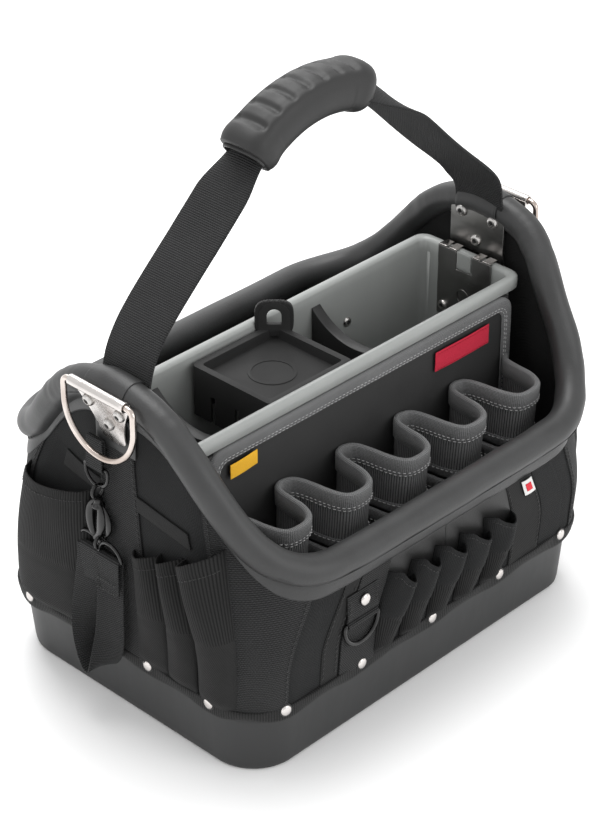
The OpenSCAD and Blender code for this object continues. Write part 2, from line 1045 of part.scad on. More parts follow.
module parts_tray() {
  w = tray_x1 - tray_x0;
  mid = (tray_x0 + tray_x1) / 2;
  color(black_metal)
    translate([0, mid_y, 0]) {
    difference() {
      translate([mid, 0.3, tray_low])
        linear_extrude(height = tray_top - tray_low)
          plan(w / 2, 44.2, 5);
      translate([mid, 0.3, tray_top - 9])
        linear_extrude(height = 20)
          plan(w / 2 - 6, 38, 3);
      translate([mid, 0.3, tray_low - 1])
        linear_extrude(height = tray_top - tray_low - 11)
          plan(w / 2 - 2.5, 41.5, 3);
      for (y = [-9, 18]) {
        translate([tray_x0 - 1, y, tray_low - 1])
          cube([6, 5, 25]);
        translate([tray_x1 - 5, y, tray_low - 1])
          cube([6, 5, 25]);
      }
    }
    translate([mid, 0.3, tray_top - 9.1])
      difference() {
        cylinder(r = 20, h = 0.7, $fn = 64);
        translate([0, 0, -1])
          cylinder(r = 17, h = 3, $fn = 64);
      }
    translate([-8, 36.4, tray_top - 2])
      rotate([0, 0, -45])
        rotate([90, 0, 0])
          linear_extrude(height = 3.6, center = true)
            difference() {
              union() {
                translate([-13, 0])
                  square([26, 14]);
                translate([0, 14])
                  circle(r = 13, $fn = 48);
              }
              translate([-6, 7])
                square([12, 8]);
              translate([0, 15])
                circle(r = 6, $fn = 48);
            }
  }
}

module divider(x) {
  dip = 20;
  half = tote_y - tote_t - 0.6;
  r = (half * half + dip * dip) / (2 * dip);
  color(black_metal)
    translate([0, mid_y, 0]) {
    for (s = [-1, 1]) {
      translate([x + s * 4, 0, 0])
        rotate([90, 0, 90])
          linear_extrude(height = 2.4, center = true)
            difference() {
              translate([-half, tote_floor + 6])
                square([2 * half, 255 - tote_floor - 6]);
              translate([0, 235 + r])
                circle(r = r, $fn = 160);
            }
    }
    translate([x, 0, 0])
      rotate([90, 0, 90])
        linear_extrude(height = 9, center = true)
          difference() {
            translate([-half, 228])
              square([2 * half, 27]);
            translate([0, 235 + r])
              circle(r = r, $fn = 160);
            difference() {
              translate([-100, 200])
                square([200, 100]);
              translate([0, 235 + r])
                circle(r = r + 2.4, $fn = 160);
            }
          }
  }
}
module left_divider() {
  divider(left_divider_x);
}
module right_divider() {
  divider(right_divider_x);
}

base_tub();
joining_band();
band_rivets();
front_wall();
back_wall();
left_wall();
right_wall();
wall_corners();
corner_webbing();
wall_webbing();
end_webbing();
rim_roll_front();
rim_roll_back();
rim_roll_left();
rim_roll_right();
rim_facing();
roll_wraps();
front_pockets();
back_pockets();
left_end_pockets();
right_end_pockets();
front_ring_tab();
tab_rivet();
size_tag();
left_ring_plate();
right_ring_plate();
ring_plate_screws();
left_strap_plate();
right_strap_plate();
strap_plate_screws();
strap_anchors();
hook_tab();
left_d_ring();
right_d_ring();
small_d_ring();
split_ring();
snap_hook();
hook_gate();
tape_ring();
tape_strap();
grip();
grip_liner();
left_handle_strap();
right_handle_strap();
tote_bin();
left_hook_plate();
right_hook_plate();
tote_screws();
pocket_panel();
panel_binding();
tool_loops();
loop_binding();
lower_pockets();
lower_pocket_binding();
long_tag();
short_tag();
parts_tray();
left_divider();
right_divider();
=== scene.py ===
import json
import math

import bmesh
import bpy
import numpy as np
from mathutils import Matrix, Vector, noise


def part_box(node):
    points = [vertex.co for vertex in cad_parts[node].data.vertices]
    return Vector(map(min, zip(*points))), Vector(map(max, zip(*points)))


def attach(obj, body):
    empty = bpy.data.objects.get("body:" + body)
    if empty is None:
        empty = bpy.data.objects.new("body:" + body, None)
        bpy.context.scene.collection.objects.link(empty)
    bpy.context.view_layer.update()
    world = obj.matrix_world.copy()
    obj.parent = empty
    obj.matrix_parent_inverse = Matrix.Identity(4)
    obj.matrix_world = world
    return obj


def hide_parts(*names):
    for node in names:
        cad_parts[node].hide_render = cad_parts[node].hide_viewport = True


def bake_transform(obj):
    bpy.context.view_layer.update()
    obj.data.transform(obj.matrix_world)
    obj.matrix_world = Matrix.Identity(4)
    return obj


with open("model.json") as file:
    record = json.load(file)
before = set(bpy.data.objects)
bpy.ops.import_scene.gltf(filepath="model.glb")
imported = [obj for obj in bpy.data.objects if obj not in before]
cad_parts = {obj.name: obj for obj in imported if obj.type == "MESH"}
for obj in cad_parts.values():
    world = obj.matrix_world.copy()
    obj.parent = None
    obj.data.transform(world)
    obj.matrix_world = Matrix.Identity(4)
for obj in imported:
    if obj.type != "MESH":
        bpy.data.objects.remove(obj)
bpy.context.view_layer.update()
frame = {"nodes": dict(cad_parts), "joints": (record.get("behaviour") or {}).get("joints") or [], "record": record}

# Shapes are worked out in millimetres and written to the meshes in metres.
MM = 0.001
MID = frame["record"]["behaviour"]["joints"][0]["pos_m"][1]
CY = MID * 1000  # plane of the handle and middle of the tote
WEB = 25.4  # half of two inch webbing
SIDES = ((-1, "left"), (1, "right"))


def box_mm(node):
    return [[1000 * c for c in corner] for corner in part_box(node)]


def joint_mm(name):
    return [1000 * c for c in next(j for j in frame["joints"] if j["name"] == name)["pos_m"]]


# ---------------------------------------------------------------- materials


class Shade:
    """Small helper that builds one node material."""

    def __init__(self, name, rough=0.5, metallic=0.0, spec=0.5, sheen=0.0, coat=0.0, coat_rough=0.2):
        self.mat = bpy.data.materials.new(name)
        self.mat.use_nodes = True
        self.nt = self.mat.node_tree
        self.nt.nodes.clear()
        out = self.nt.nodes.new("ShaderNodeOutputMaterial")
        self.bsdf = self.nt.nodes.new("ShaderNodeBsdfPrincipled")
        self.nt.links.new(self.bsdf.outputs[0], out.inputs[0])
        for key, value in (("Roughness", rough), ("Metallic", metallic), ("Specular IOR Level", spec),
                           ("Sheen Weight", sheen), ("Sheen Roughness", 0.5), ("Coat Weight", coat),
                           ("Coat Roughness", coat_rough)):
            self.bsdf.inputs[key].default_value = value

    def node(self, kind, ins=None, out=0, **props):
        n = self.nt.nodes.new(kind)
        for k, v in props.items():
            setattr(n, k, v)
        for k, v in (ins or {}).items():
            if isinstance(v, bpy.types.NodeSocket):
                self.nt.links.new(v, n.inputs[k])
            else:
                n.inputs[k].default_value = v
        return n.outputs[out]

    def m(self, op, a, b=0.0, c=0.0):
        return self.node("ShaderNodeMath", {0: a, 1: b, 2: c}, operation=op)

    def mul(self, a, b):
        return self.m("MULTIPLY", a, b)

    def mad(self, a, b, c):
        return self.m("MULTIPLY_ADD", a, b, c)

    def hump(self, x):
        """One rounded rise for each unit of x."""
        return self.m("SINE", self.mul(self.m("FRACT", x), math.pi))

    def odd(self, x):
        return self.m("FLOORED_MODULO", self.m("FLOOR", x), 2.0)

    def uv(self):
        return self.node("ShaderNodeUVMap")

    def obj(self):
        return self.node("ShaderNodeTexCoord", out=3)

    def split_uv(self):
        n = self.nt.nodes.new("ShaderNodeSeparateXYZ")
        self.nt.links.new(self.uv(), n.inputs[0])
        return n.outputs[0], n.outputs[1]

    def noise(self, scale, detail=3.0, rough=0.55, vec=None, stretch=None):
        vec = vec or self.obj()
        if stretch:
            vec = self.node("ShaderNodeMapping", {"Vector": vec, "Scale": stretch})
        return self.node("ShaderNodeTexNoise", {"Vector": vec, "Scale": scale, "Detail": detail, "Roughness": rough})

    def color(self, fac, *stops):
        n = self.nt.nodes.new("ShaderNodeValToRGB")
        self.nt.links.new(fac, n.inputs[0])
        for el, (p, c) in zip(n.color_ramp.elements, stops):
            el.position = p
            el.color = (*c, 1)
        self.nt.links.new(n.outputs[0], self.bsdf.inputs["Base Color"])

    def rough(self, sock):
        self.nt.links.new(sock, self.bsdf.inputs["Roughness"])

    def bump(self, height, distance, strength=1.0, after=None):
        ins = {"Height": height, "Distance": distance, "Strength": strength}
        if after is not None:
            ins["Normal"] = after
        n = self.node("ShaderNodeBump", ins)
        for link in list(self.bsdf.inputs["Normal"].links):
            self.nt.links.remove(link)
        self.nt.links.new(n, self.bsdf.inputs["Normal"])
        return n


def finish_cloth(s, h, stops, rough, bump, nap_and_weave_shade, blotch, crease):
    """Tone, roughness and bump of a cloth from its thread height h; the tone taken from h paints shade in the gaps
    between threads and a highlight on their crowns.
    """
    nap = s.noise(nap_and_weave_shade[0], 2.0)
    patchy = s.mad(s.noise(*blotch[:2]), *blotch[2:])
    # painted shade and highlight: tone follows thread height, with random nap and patches on top
    s.color(s.mul(s.mad(h, nap_and_weave_shade[1], s.mul(nap, nap_and_weave_shade[2])), patchy), *stops)
    s.rough(s.mad(nap, 0.2, rough))
    n = s.bump(h, *bump)
    s.bump(s.noise(crease[0], 3.0), *crease[1:], after=n)
    return s.mat


def woven(name, dark, light, pitch=0.0011, depth=0.0004, sheen=0.03):
    """Plain weave over metric UVs, with threads that wander a little."""
    s = Shade(name, rough=0.82, sheen=sheen, spec=0.12)
    u, v = s.split_uv()
    wander = s.mul(s.m("SUBTRACT", s.noise(90.0, 2.0, vec=s.uv()), 0.5), 0.0006)
    a, b = (s.m("DIVIDE", s.m("ADD", c, wander), pitch) for c in (u, v))
    hump_a, hump_b = s.hump(a), s.hump(b)
    cell = s.m("ABSOLUTE", s.m("SUBTRACT", s.odd(a), s.odd(b)))
    over = s.mul(hump_a, s.mad(hump_b, 0.45, 0.55))
    under = s.mul(hump_b, s.mad(hump_a, 0.45, 0.55))
    h = s.m("ADD", s.mul(over, cell), s.mul(under, s.m("SUBTRACT", 1.0, cell)))
    return finish_cloth(s, h, ((0.12, dark), (0.75, light)), 0.72, (depth, 0.9), (900.0, 0.55, 0.35),
                        (14.0, 4.0, 0.7, 0.62), (60.0, 0.0009, 0.35))


def ribbed_tape(name, dark, light, rib=0.0018, cross=0.0021, depth=0.0006, lengthwise=False):
    """Webbing: strong ribs across the tape, split into twisted yarns."""
    s = Shade(name, rough=0.72, sheen=0.04, spec=0.2)
    u, v = s.split_uv()
    if lengthwise:
        u, v = v, u
    row = s.m("DIVIDE", v, rib)
    col = s.m("ADD", s.m("DIVIDE", u, cross), s.mul(s.odd(row), 0.5))
    h = s.mul(s.hump(row), s.mad(s.hump(col), 0.5, 0.5))
    return finish_cloth(s, h, ((0.15, dark), (0.8, light)), 0.6, (depth, 1.0), (1100.0, 0.75, 0.3),
                        (18.0, 3.0, 0.6, 0.68), (45.0, 0.0008, 0.3))


def corded(name, dark, light, pitch=0.0021, depth=0.0005, slope=0.0):
    """Cloth with upright cords, or twill when slope is not zero."""
    s = Shade(name, rough=0.8, sheen=0.03, spec=0.12)
    u, v = s.split_uv()
    cords = s.hump(s.m("DIVIDE", s.mad(v, slope, u), pitch))
    h = s.mul(cords, s.mad(s.hump(s.m("DIVIDE", v, 0.0012)), 0.3, 0.7))
    return finish_cloth(s, h, ((0.15, dark), (0.8, light)), 0.7, (depth, 0.9), (900.0, 0.7, 0.35),
                        (16.0, 3.0, 0.6, 0.68), (50.0, 0.0009, 0.35))


def hide(name, dark, light, rough=0.42, grain=620.0, spec=0.5):
    """Vinyl or felt with a pebbled surface."""
    s = Shade(name, rough=rough, spec=spec, coat_rough=0.35)
    soft = s.noise(26.0, 5.0, 0.6)
    s.color(s.mad(soft, 0.55, s.mul(s.noise(7.0, 4.0), 0.45)), (0.3, dark), (0.72, light))
    s.rough(s.mad(soft, 0.22, rough - 0.1))
    n = s.bump(s.node("ShaderNodeTexVoronoi", {"Vector": s.obj(), "Scale": grain}), 0.00012, 0.55)
    s.bump(s.noise(38.0, 4.0, 0.6), 0.0012, 0.28, after=n)
    return s.mat


def moulded(name, dark, light, rough=0.45, texture=1500.0, tex_depth=0.00005, coat=0.0, spec=0.4):
    s = Shade(name, rough=rough, spec=spec, coat=coat, coat_rough=0.12)
    scuff = s.noise(60.0, 5.0, 0.7, stretch=(1.0, 1.0, 0.25))
    s.color(s.mad(s.noise(9.0, 3.0), 0.7, s.mul(scuff, 0.3)), (0.3, dark), (0.7, light))
    s.rough(s.mad(scuff, 0.22, rough - 0.11))
    n = s.bump(s.noise(texture, 2.0), tex_depth, 0.6)
    s.bump(s.noise(30.0, 2.0), 0.0004, 0.15, after=n)
    return s.mat


def metal(name, col, warm, rough=0.2, brush=(1.0, 1.0, 1.0), scratch=0.00002):
    s = Shade(name, rough=rough, metallic=1.0)
    fine = s.noise(240.0, 4.0, 0.6, stretch=brush)
    s.color(s.noise(22.0, 3.0), (0.35, col), (0.65, warm))
    s.rough(s.mad(fine, 0.25, rough - 0.1))
    s.bump(fine, scratch, 0.5)
    return s.mat


def stitch_thread(name, dark, light):
    s = Shade(name, rough=0.7, sheen=0.2)
    twist = s.noise(1600.0, 1.0)
    s.color(twist, (0.35, dark), (0.65, light))
    s.bump(twist, 0.0001, 0.6)
    return s.mat


def tag(name, dark, light):
    return woven(name, dark, light, pitch=0.0006, depth=0.0001)


def grey(v, tint=0.0):
    return (v * (1 - tint), v, v * (1 + tint))


MAT = {
    "cloth": woven("heavy_weave", grey(0.004), grey(0.024, 0.03), pitch=0.0012),
    "lining": woven("lining_weave", grey(0.003), grey(0.014), pitch=0.0014),
    "webbing": ribbed_tape("webbing", grey(0.0025), grey(0.026, 0.02), depth=0.0008),
    "band": ribbed_tape("band_tape", grey(0.003), grey(0.022), rib=0.0022, cross=0.0014, depth=0.0004, lengthwise=True),
    "cord_cloth": corded("corded_cloth", grey(0.003), grey(0.023), pitch=0.0022),
    "twill": corded("twill_cloth", grey(0.005), grey(0.028), pitch=0.0016, slope=0.7, depth=0.0003),
    "loop_cloth": corded("loop_cloth", grey(0.02), grey(0.18, 0.01), pitch=0.0022, depth=0.0006),
    "vinyl": hide("rim_vinyl", grey(0.015), grey(0.036, 0.02), rough=0.46),
    "sheet_vinyl": hide("sheet_vinyl", grey(0.008), grey(0.018), rough=0.38, grain=900.0, spec=0.3),
    "panel": hide("panel_felt", grey(0.013), grey(0.024), rough=0.68, grain=1500.0),
    "tub": moulded("base_plastic", grey(0.023, 0.01), grey(0.031, 0.02), rough=0.5),
    "tote": moulded("tote_plastic", (0.26, 0.27, 0.262), (0.305, 0.315, 0.307), rough=0.38, coat=0.1),
    "tray": moulded("tray_plastic", grey(0.024), grey(0.031), rough=0.55, spec=0.12),
    "divider": moulded("divider_plastic", grey(0.014), grey(0.021), rough=0.38),
    "rubber": moulded("grip_rubber", grey(0.013), grey(0.019), rough=0.5, texture=900.0, tex_depth=0.00008),
    "nickel": metal("nickel", (0.58, 0.55, 0.53), (0.67, 0.64, 0.62)),
    "ring_metal": metal("ring_chrome", (0.42, 0.35, 0.31), (0.66, 0.60, 0.56), rough=0.15),
    "steel": metal("brushed_steel", (0.20, 0.197, 0.19), (0.29, 0.285, 0.28), rough=0.3, brush=(1.0, 0.06, 1.0),
                   scratch=0.00004),
    "screw": metal("screw_steel", (0.44, 0.43, 0.42), (0.6, 0.58, 0.56), rough=0.26),
    "socket": moulded("socket_shadow", grey(0.004), grey(0.006), rough=0.6),
    "black_wire": moulded("black_wire", grey(0.004), grey(0.009), rough=0.22, coat=0.15, spec=0.35),
    "trim": woven("grey_trim", grey(0.045), grey(0.215, 0.01), pitch=0.0013, sheen=0.1),
    "pale_stitch": stitch_thread("pale_stitch", grey(0.30), grey(0.5)),
    "dark_stitch": stitch_thread("dark_stitch", grey(0.003), grey(0.009)),
    "red_tag": tag("red_tag", (0.35, 0.012, 0.03), (0.62, 0.035, 0.07)),
    "yellow_tag": tag("yellow_tag", (0.70, 0.34, 0.02), (0.95, 0.55, 0.05)),
    "white_tag": tag("white_tag", (0.52, 0.51, 0.5), (0.85, 0.85, 0.84)),
    "tag_red_mark": tag("tag_mark", (0.5, 0.02, 0.03), (0.75, 0.05, 0.07)),
}

# ---------------------------------------------------------------- mesh tools


def new_object(name, me, mat, body, replaces=()):
    """Puts a mesh in the scene and on its body, in place of the CAD nodes it replaces."""
    ob = bpy.data.objects.new(name, me)
    bpy.context.scene.collection.objects.link(ob)
    me.materials.clear()
    me.materials.append(MAT[mat])
    me.polygons.foreach_set("use_smooth", [True] * len(me.polygons))
    if body:
        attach(ob, body)
    if replaces:
        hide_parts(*replaces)
    return ob


def make(name, verts, faces, mat, body, uvs=None, replaces=()):
    me = bpy.data.meshes.new(name)
    me.from_pydata([tuple(c * MM for c in v) for v in verts], [], faces)
    me.update()
    if uvs is not None:
        layer = me.uv_layers.new(name="UVMap")
        layer.data.foreach_set("uv", [c * MM for f in uvs for uv in f for c in uv])
    return new_object(name, me, mat, body, replaces)


def grid_data(P, UV=None, wrap_u=False, wrap_v=False, flip=False):
    """Quads over P[nu][nv], with UVs to scale."""
    P = np.asarray(P, float)
    nu, nv = P.shape[:2]
    if UV is None:
        du = np.linalg.norm(np.diff(P, axis=0), axis=2).mean(1)
        dv = np.linalg.norm(np.diff(P, axis=1), axis=2).mean(0)
        U = np.concatenate([[0], np.cumsum(du)])
        V = np.concatenate([[0], np.cumsum(dv)])
        if wrap_u:
            U = np.append(U, U[-1] + du.mean())
        if wrap_v:
            V = np.append(V, V[-1] + dv.mean())
        UV = np.stack(np.meshgrid(U, V, indexing="ij"), -1)
    faces, uvs = [], []
    turn = -1 if flip else 1
    for i in range(nu if wrap_u else nu - 1):
        for j in range(nv if wrap_v else nv - 1):
            i2, j2 = (i + 1) % nu, (j + 1) % nv
            faces.append([i * nv + j, i2 * nv + j, i2 * nv + j2, i * nv + j2][::turn])
            uvs.append([tuple(UV[a][b]) for a, b in ((i, j), (i + 1, j), (i + 1, j + 1), (i, j + 1))][::turn])
    return P.reshape(-1, 3), faces, uvs


def settle(ob):
    """Applies the modifiers."""
    if ob.modifiers:
        bpy.context.view_layer.update()
        me = bpy.data.meshes.new_from_object(ob.evaluated_get(bpy.context.evaluated_depsgraph_get()))
        ob.modifiers.clear()
        ob.data = me
    ob.data.polygons.foreach_set("use_smooth", [True] * len(ob.data.polygons))


def soften(ob, width, segments, angle):
    """Adds a bevel on edges sharper than angle degrees."""
    m = ob.modifiers.new("b", "BEVEL")
    m.width = width * MM
    m.segments = segments
    m.limit_method = "ANGLE"
    m.angle_limit = math.radians(angle)


def sheet(name, P, mat, body, thick=0.0, replaces=(), UV=None, wrap_u=False, wrap_v=False, flip=False,
          offset=-1.0, bevel=0.0):
    """A surface grid, given thickness and softened edges."""
    v, f, uv = grid_data(P, UV, wrap_u, wrap_v, flip)
    ob = make(name, v, f, mat, None, uv)
    if thick:
        m = ob.modifiers.new("t", "SOLIDIFY")
        m.thickness = thick * MM
        m.offset = offset
        m.use_even_offset = True
    if bevel:
        soften(ob, bevel, 2, 50)
    settle(ob)
    if body:
        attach(ob, body)
    if replaces:
        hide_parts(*replaces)
    return ob


def harden(ob, angle):
    """Keeps sharp edges crisp on a smooth-shaded mesh."""
    ob.data.set_sharp_from_angle(angle=math.radians(angle))
    return ob


def unit(A):
    return A / np.linalg.norm(A, axis=-1, keepdims=True)


def around(n):
    return np.linspace(0, 2 * math.pi, n, endpoint=False)


def arc(cx, cy, r, a0, a1, n):
    """Points on an arc between two angles in degrees."""
    return [(cx + r * math.cos(t), cy + r * math.sin(t)) for t in np.radians(np.linspace(a0, a1, n))]


def frames(C, up=(0, 0, 1), closed=False):
    """Side and up vectors along a centre line."""
    T = unit(np.roll(C, -1, 0) - np.roll(C, 1, 0) if closed else np.gradient(C, axis=0))
    S = unit(np.cross(T, np.broadcast_to(np.asarray(up, float), C.shape)))
    return S, np.cross(S, T)


def tube(name, C, r, mat, body, n=12, closed=False, up=(0, 0, 1), replaces=(), squash=1.0):
    """Bar of radius r along a centre line."""
    C = np.asarray(C, float)
    S, N = frames(C, up, closed)
    r = np.broadcast_to(np.asarray(r, float), (len(C),))[:, None, None]
    a = around(n)[None, :, None]
    v, f, uv = grid_data(C[:, None] + r * (np.cos(a) * S[:, None] + squash * np.sin(a) * N[:, None]), None, closed, True)
    if not closed:
        k, base = len(v), len(v) - n
        v = np.vstack([v, C[0], C[-1]])
        for j in range(n):
            f += [[j, (j + 1) % n, k], [base + (j + 1) % n, base + j, k + 1]]
            uv += [[(0, 0)] * 3] * 2
    return make(name, v, f, mat, body, uv, replaces)


def lathe(profile, center, axis, n=28):
    """Turned shape from (radius, height) pairs, as mesh data."""
    z = Vector(axis).normalized()
    x = z.orthogonal().normalized()
    y = z.cross(x)
    verts = [Vector(center) + x * (r * math.cos(t)) + y * (r * math.sin(t)) + z * h for r, h in profile for t in around(n)]
    faces = []
    for i in range(len(profile) - 1):
        for k in range(n):
            a, b = i * n + k, i * n + (k + 1) % n
            faces.append([a, b, b + n, a + n])
    return verts, faces + [list(range(n))[::-1], [(len(profile) - 1) * n + k for k in range(n)]]


def close_bowl(v, f, uv, m, foot, floor):
    """Closes the underside and the inside floor of a ring of profiles with m points each."""
    k, n = len(v), len(v) // m
    for i in range(n):
        j = (i + 1) % n
        f += [[k, j * m, i * m], [k + 1, i * m + m - 1, j * m + m - 1]]
        uv += [[(0, 0)] * 3] * 2
    return np.vstack([v, foot, floor])


def many(parts):
    """Joins several (verts, faces) lists."""
    verts, faces = [], []
    for v, f in parts:
        k = len(verts)
        verts += [tuple(p) for p in v]
        faces += [[k + i for i in q] for q in f]
    return verts, faces


def distance(P):
    return np.concatenate([[0], np.cumsum(np.linalg.norm(np.diff(P, axis=0), axis=1))])


def along(t, d, P):
    return np.stack([np.interp(t, d, P[:, k]) for k in range(3)], -1)


def resample(points, step):
    P = np.asarray(points, float)
    d = distance(P)
    return along(np.linspace(0, d[-1], max(2, int(round(d[-1] / step)) + 1)), d, P)


def smooth_path(points, step, rounds=3):
    """Corner-cutting curve through a coarse list of points."""
    P = np.asarray(points, float)
    for _ in range(rounds):
        Q = [P[0]]
        for a, b in zip(P[:-1], P[1:]):
            Q += [0.75 * a + 0.25 * b, 0.25 * a + 0.75 * b]
        P = np.array(Q + [P[-1]])
    return resample(P, step)


def stitches(name, line, normal, mat="dark_stitch", body="bag", length=3.4, gap=1.6, r=0.38):
    """Separate thread dashes lying along a line, which has one normal or a list of them."""
    L = resample(line, 0.4)
    normal = np.asarray(normal, float)
    if normal.ndim == 1:
        Nn = np.broadcast_to(normal, L.shape)
    else:
        Nn = normal[np.linspace(0, len(normal) - 1, len(L)).astype(int)]
    d = distance(L)
    a = around(6)[None, :, None]
    parts = []
    pos = gap
    while pos + length < d[-1]:
        ts = np.linspace(pos, pos + length, 5)
        nn = unit(along(ts, d, Nn))
        C = along(ts, d, L) + nn * (np.array([-0.6, 0.5, 0.8, 0.5, -0.6]) * r)[:, None]
        S = unit(np.cross(unit(C[-1] - C[0]), nn))
        rr = r * np.array([0.6, 1, 1, 1, 0.6])[:, None, None]
        v, f, _ = grid_data(C[:, None] + rr * (np.cos(a) * S[:, None] + np.sin(a) * nn[:, None]), None, False, True)
        parts.append((v, f + [[0, 1, 2, 3, 4, 5], [29, 28, 27, 26, 25, 24]]))
        pos += length + gap
    return make(name, *many(parts), mat, body)


def wave(*args):
    """Fixed smooth noise around zero."""
    return noise.noise(Vector((*args, 0.5, 0.5)[:3]))


def ease(t):
    t = min(1.0, max(0.0, t))
    return t * t * (3 - 2 * t)


def oval(a, h, w, k):
    """Radius at angle a of a rounded rectangle of half sizes h and w."""
    return (abs(math.cos(a) / h) ** k + abs(math.sin(a) / w) ** k) ** (-1 / k)


# ---------------------------------------------------------------- bag form

WX = -box_mm("left_wall")[0][0]
WY = -box_mm("front_wall")[0][1]
WR = 46.0
RX = WX + 2
RY = WY + 4
RR = 82.0
BAND_LOW, BAND_TOP = (corner[2] for corner in box_mm("joining_band"))
ROLL = 13.0
FRONT_Z = 180.0
BACK_Z = 204.0
PEAK_Z = 313.0
FLAT_X = WX - WR
FLAT_Y = WY - WR
ARC = WR * math.pi / 2
LENGTH = 4 * FLAT_X + 4 * FLAT_Y + 4 * ARC
START_R = FLAT_X + ARC
START_B = START_R + 2 * FLAT_Y + ARC
START_L = START_B + 2 * FLAT_X + ARC
SEAM_LOW = 70
SECTIONS = (("f1", FLAT_X), ("fr", ARC), ("r", 2 * FLAT_Y), ("br", ARC), ("b", 2 * FLAT_X),
            ("bl", ARC), ("l", 2 * FLAT_Y), ("fl", ARC), ("f0", FLAT_X))


def q_front(x):
    return x % LENGTH


def q_right(y):
    return START_R + y + FLAT_Y


def q_back(x):
    return START_B + FLAT_X - x


def q_left(y):
    return START_L + FLAT_Y - y


ENDS = (("left", q_left), ("right", q_right))


def around_bag(n):
    return np.linspace(0, LENGTH, n + 1)[:-1]


def locate(q):
    """Section and fraction round the plan."""
    q = q % LENGTH
    for name, size in SECTIONS:
        if q <= size:
            return name, q / size
        q -= size
    return "f0", 1.0


def ring_point(q, hx, hy, r):
    """Plan point and outward normal."""
    s, f = locate(q)
    ax, ay = hx - r, hy - r
    flat = {"f1": ((ax * f, -hy), (0, -1)), "f0": ((-ax * (1 - f), -hy), (0, -1)), "r": ((hx, -ay + 2 * ay * f), (1, 0)),
            "b": ((ax - 2 * ax * f, hy), (0, 1)), "l": ((-hx, ay - 2 * ay * f), (-1, 0))}
    if s in flat:
        return flat[s]
    base, cx, cy = {"fr": (-90, ax, -ay), "br": (0, ax, ay), "bl": (90, -ax, ay), "fl": (180, -ax, -ay)}[s]
    t = math.radians(base) + f * math.pi / 2
    n = (math.cos(t), math.sin(t))
    return (cx + r * n[0], cy + r * n[1]), n


def warp(p, z):
    """The sewn shape is not quite square: the foot sits further back, and three corners are moved."""
    x, y = p
    y2 = y + (5.6 + 2.2 * y / 140) * (1 - ease(z / 175))
    near_end = ease((abs(x) - 120) / 85)
    if x > 0:
        x -= (8.0 + 4.0 * ease((z - 215) / 40)) * near_end * ease((-y - 46) / 46)
        x -= 3.0 * near_end * ease((y - 30) / 70)
    elif y > 0:
        near_end *= ease((y - 20) / 80)
        x += 8.0 * near_end * ease((z - 190) / 40) - 3.5 * near_end * (1 - ease((z - 205) / 25)) * ease(z / 80)
    return x, y2


def rim_z(q):
    """Height of the roll's centre."""
    s, f = locate(q)
    front = (FRONT_Z - 1, 98 if s in ("r", "fr", "f1") else 106, 23)
    rear = (BACK_Z, 80, 22)
    ay, quarter, side = RY - RR, RR * math.pi / 2, RX - RR
    on_end = s in ("r", "l")
    y = ay * (2 * f - 1) * (1 if s == "r" else -1)
    d = abs(y) if on_end else ay + {
        "fr": quarter * (1 - f), "bl": quarter * (1 - f), "br": quarter * f, "fl": quarter * f,
        "b": quarter + side * (1 - abs(1 - 2 * f)), "f1": quarter + side * (1 - f), "f0": quarter + side * f}[s]

    def height(low, middle, width):
        return low + (PEAK_Z - low) / (1 + math.exp((d - middle) / width))
    here, other = (rear, front) if (y > 0 if on_end else s in ("bl", "br", "b")) else (front, rear)
    z = height(*here)
    if on_end and abs(y) < 12:
        z2 = height(*other)
        z = (z + z2) / 2 + (z - z2) / 2 * abs(y) / 12
    return z


def wall(q, z, off=0.0):
    """Point on the sewn wall's outside, off millimetres proud, with its outward normal."""
    (x0, y0), n = ring_point(q, WX, WY, WR)
    (x1, y1), _ = ring_point(q, RX - 1.5, RY - 1.5, RR)
    zr = rim_z(q)
    t = ease((z - 95) / max(20.0, zr - 95))
    belly = math.sin(math.pi * min(1.0, max(0.0, (z - BAND_TOP) / (zr - BAND_TOP))))
    o = off + 1.6 * belly + 0.7 * wave(q * 0.02, z * 0.022, 3.1) * belly
    x, y = warp((x0 + (x1 - x0) * t + n[0] * o, y0 + (y1 - y0) * t + n[1] * o), z)
    return (x, y, z), (n[0], n[1], 0.0)


def wall_pt(q, z, off=0.0):
    return wall(q, z, off)[0]


def patch(name, q0, q1, z0, z1, off, mat, thick=1.2, replaces=()):
    """A flat sewn piece on the wall between q0..q1 and heights z0..z1 (numbers or functions of q)."""
    low = z0 if callable(z0) else (lambda q: z0)
    high = z1 if callable(z1) else (lambda q: z1)
    middle = (q0 + q1) / 2
    nz = max(3, int((high(middle) - low(middle)) / 4.0) + 1)
    grid = [[(q, low(q) + (high(q) - low(q)) * j / (nz - 1)) for j in range(nz)]
            for q in np.linspace(q0, q1, max(3, int((q1 - q0) / 3.5) + 1))]
    P = np.array([[wall_pt(q, z, off) for q, z in row] for row in grid])
    return sheet(name, P, mat, "bag", thick, replaces, np.array(grid), bevel=0.35)


def wall_stitch(name, q, off, top, n, normal):
    stitches(name, [wall_pt(q, z, off) for z in np.linspace(SEAM_LOW, top, n)], normal)


# ---------------------------------------------------------------- fixed bag


def build_tub():
    rings = [(0.0, -3.5), (0.8, -1.8), (2.5, -0.5), (5.0, 0.0), (8.0, 0.3), (20, 1.2), (35, 2.2), (50, 3.2), (51, 3.4),
             (52, 2.9), (60, 3.0), (63, 2.6), (64, 1.8), (64, -0.5), (63, -1.6), (40, -2.6), (12, -4.0), (6, -6.0),
             (4, -12.0)]
    bx, by = (c - 2.5 for c in box_mm("base_tub")[1][:2])
    P = np.array([[(*warp(ring_point(q, bx + o, by + o, 41 + o)[0], z), z) for z, o in rings] for q in around_bag(260)])
    v, f, uv = grid_data(P, None, True)
    v = close_bowl(v, f, uv, len(rings), [0, 0, 0], [0, 0, 4])
    harden(make("moulded_base", v, f, "tub", "bag", uv, ["base_tub"]), 60)


RIVETS = [q for i in range(-2, 3) for q in (q_front(i * 84 - 8), q_back(8 - i * 84))]
RIVETS += [q for y in (-98.5, -30.5, 37.5, 105.5) for q in (q_left(y), q_right(y))]
RIVETS = sorted(r % LENGTH for r in RIVETS)


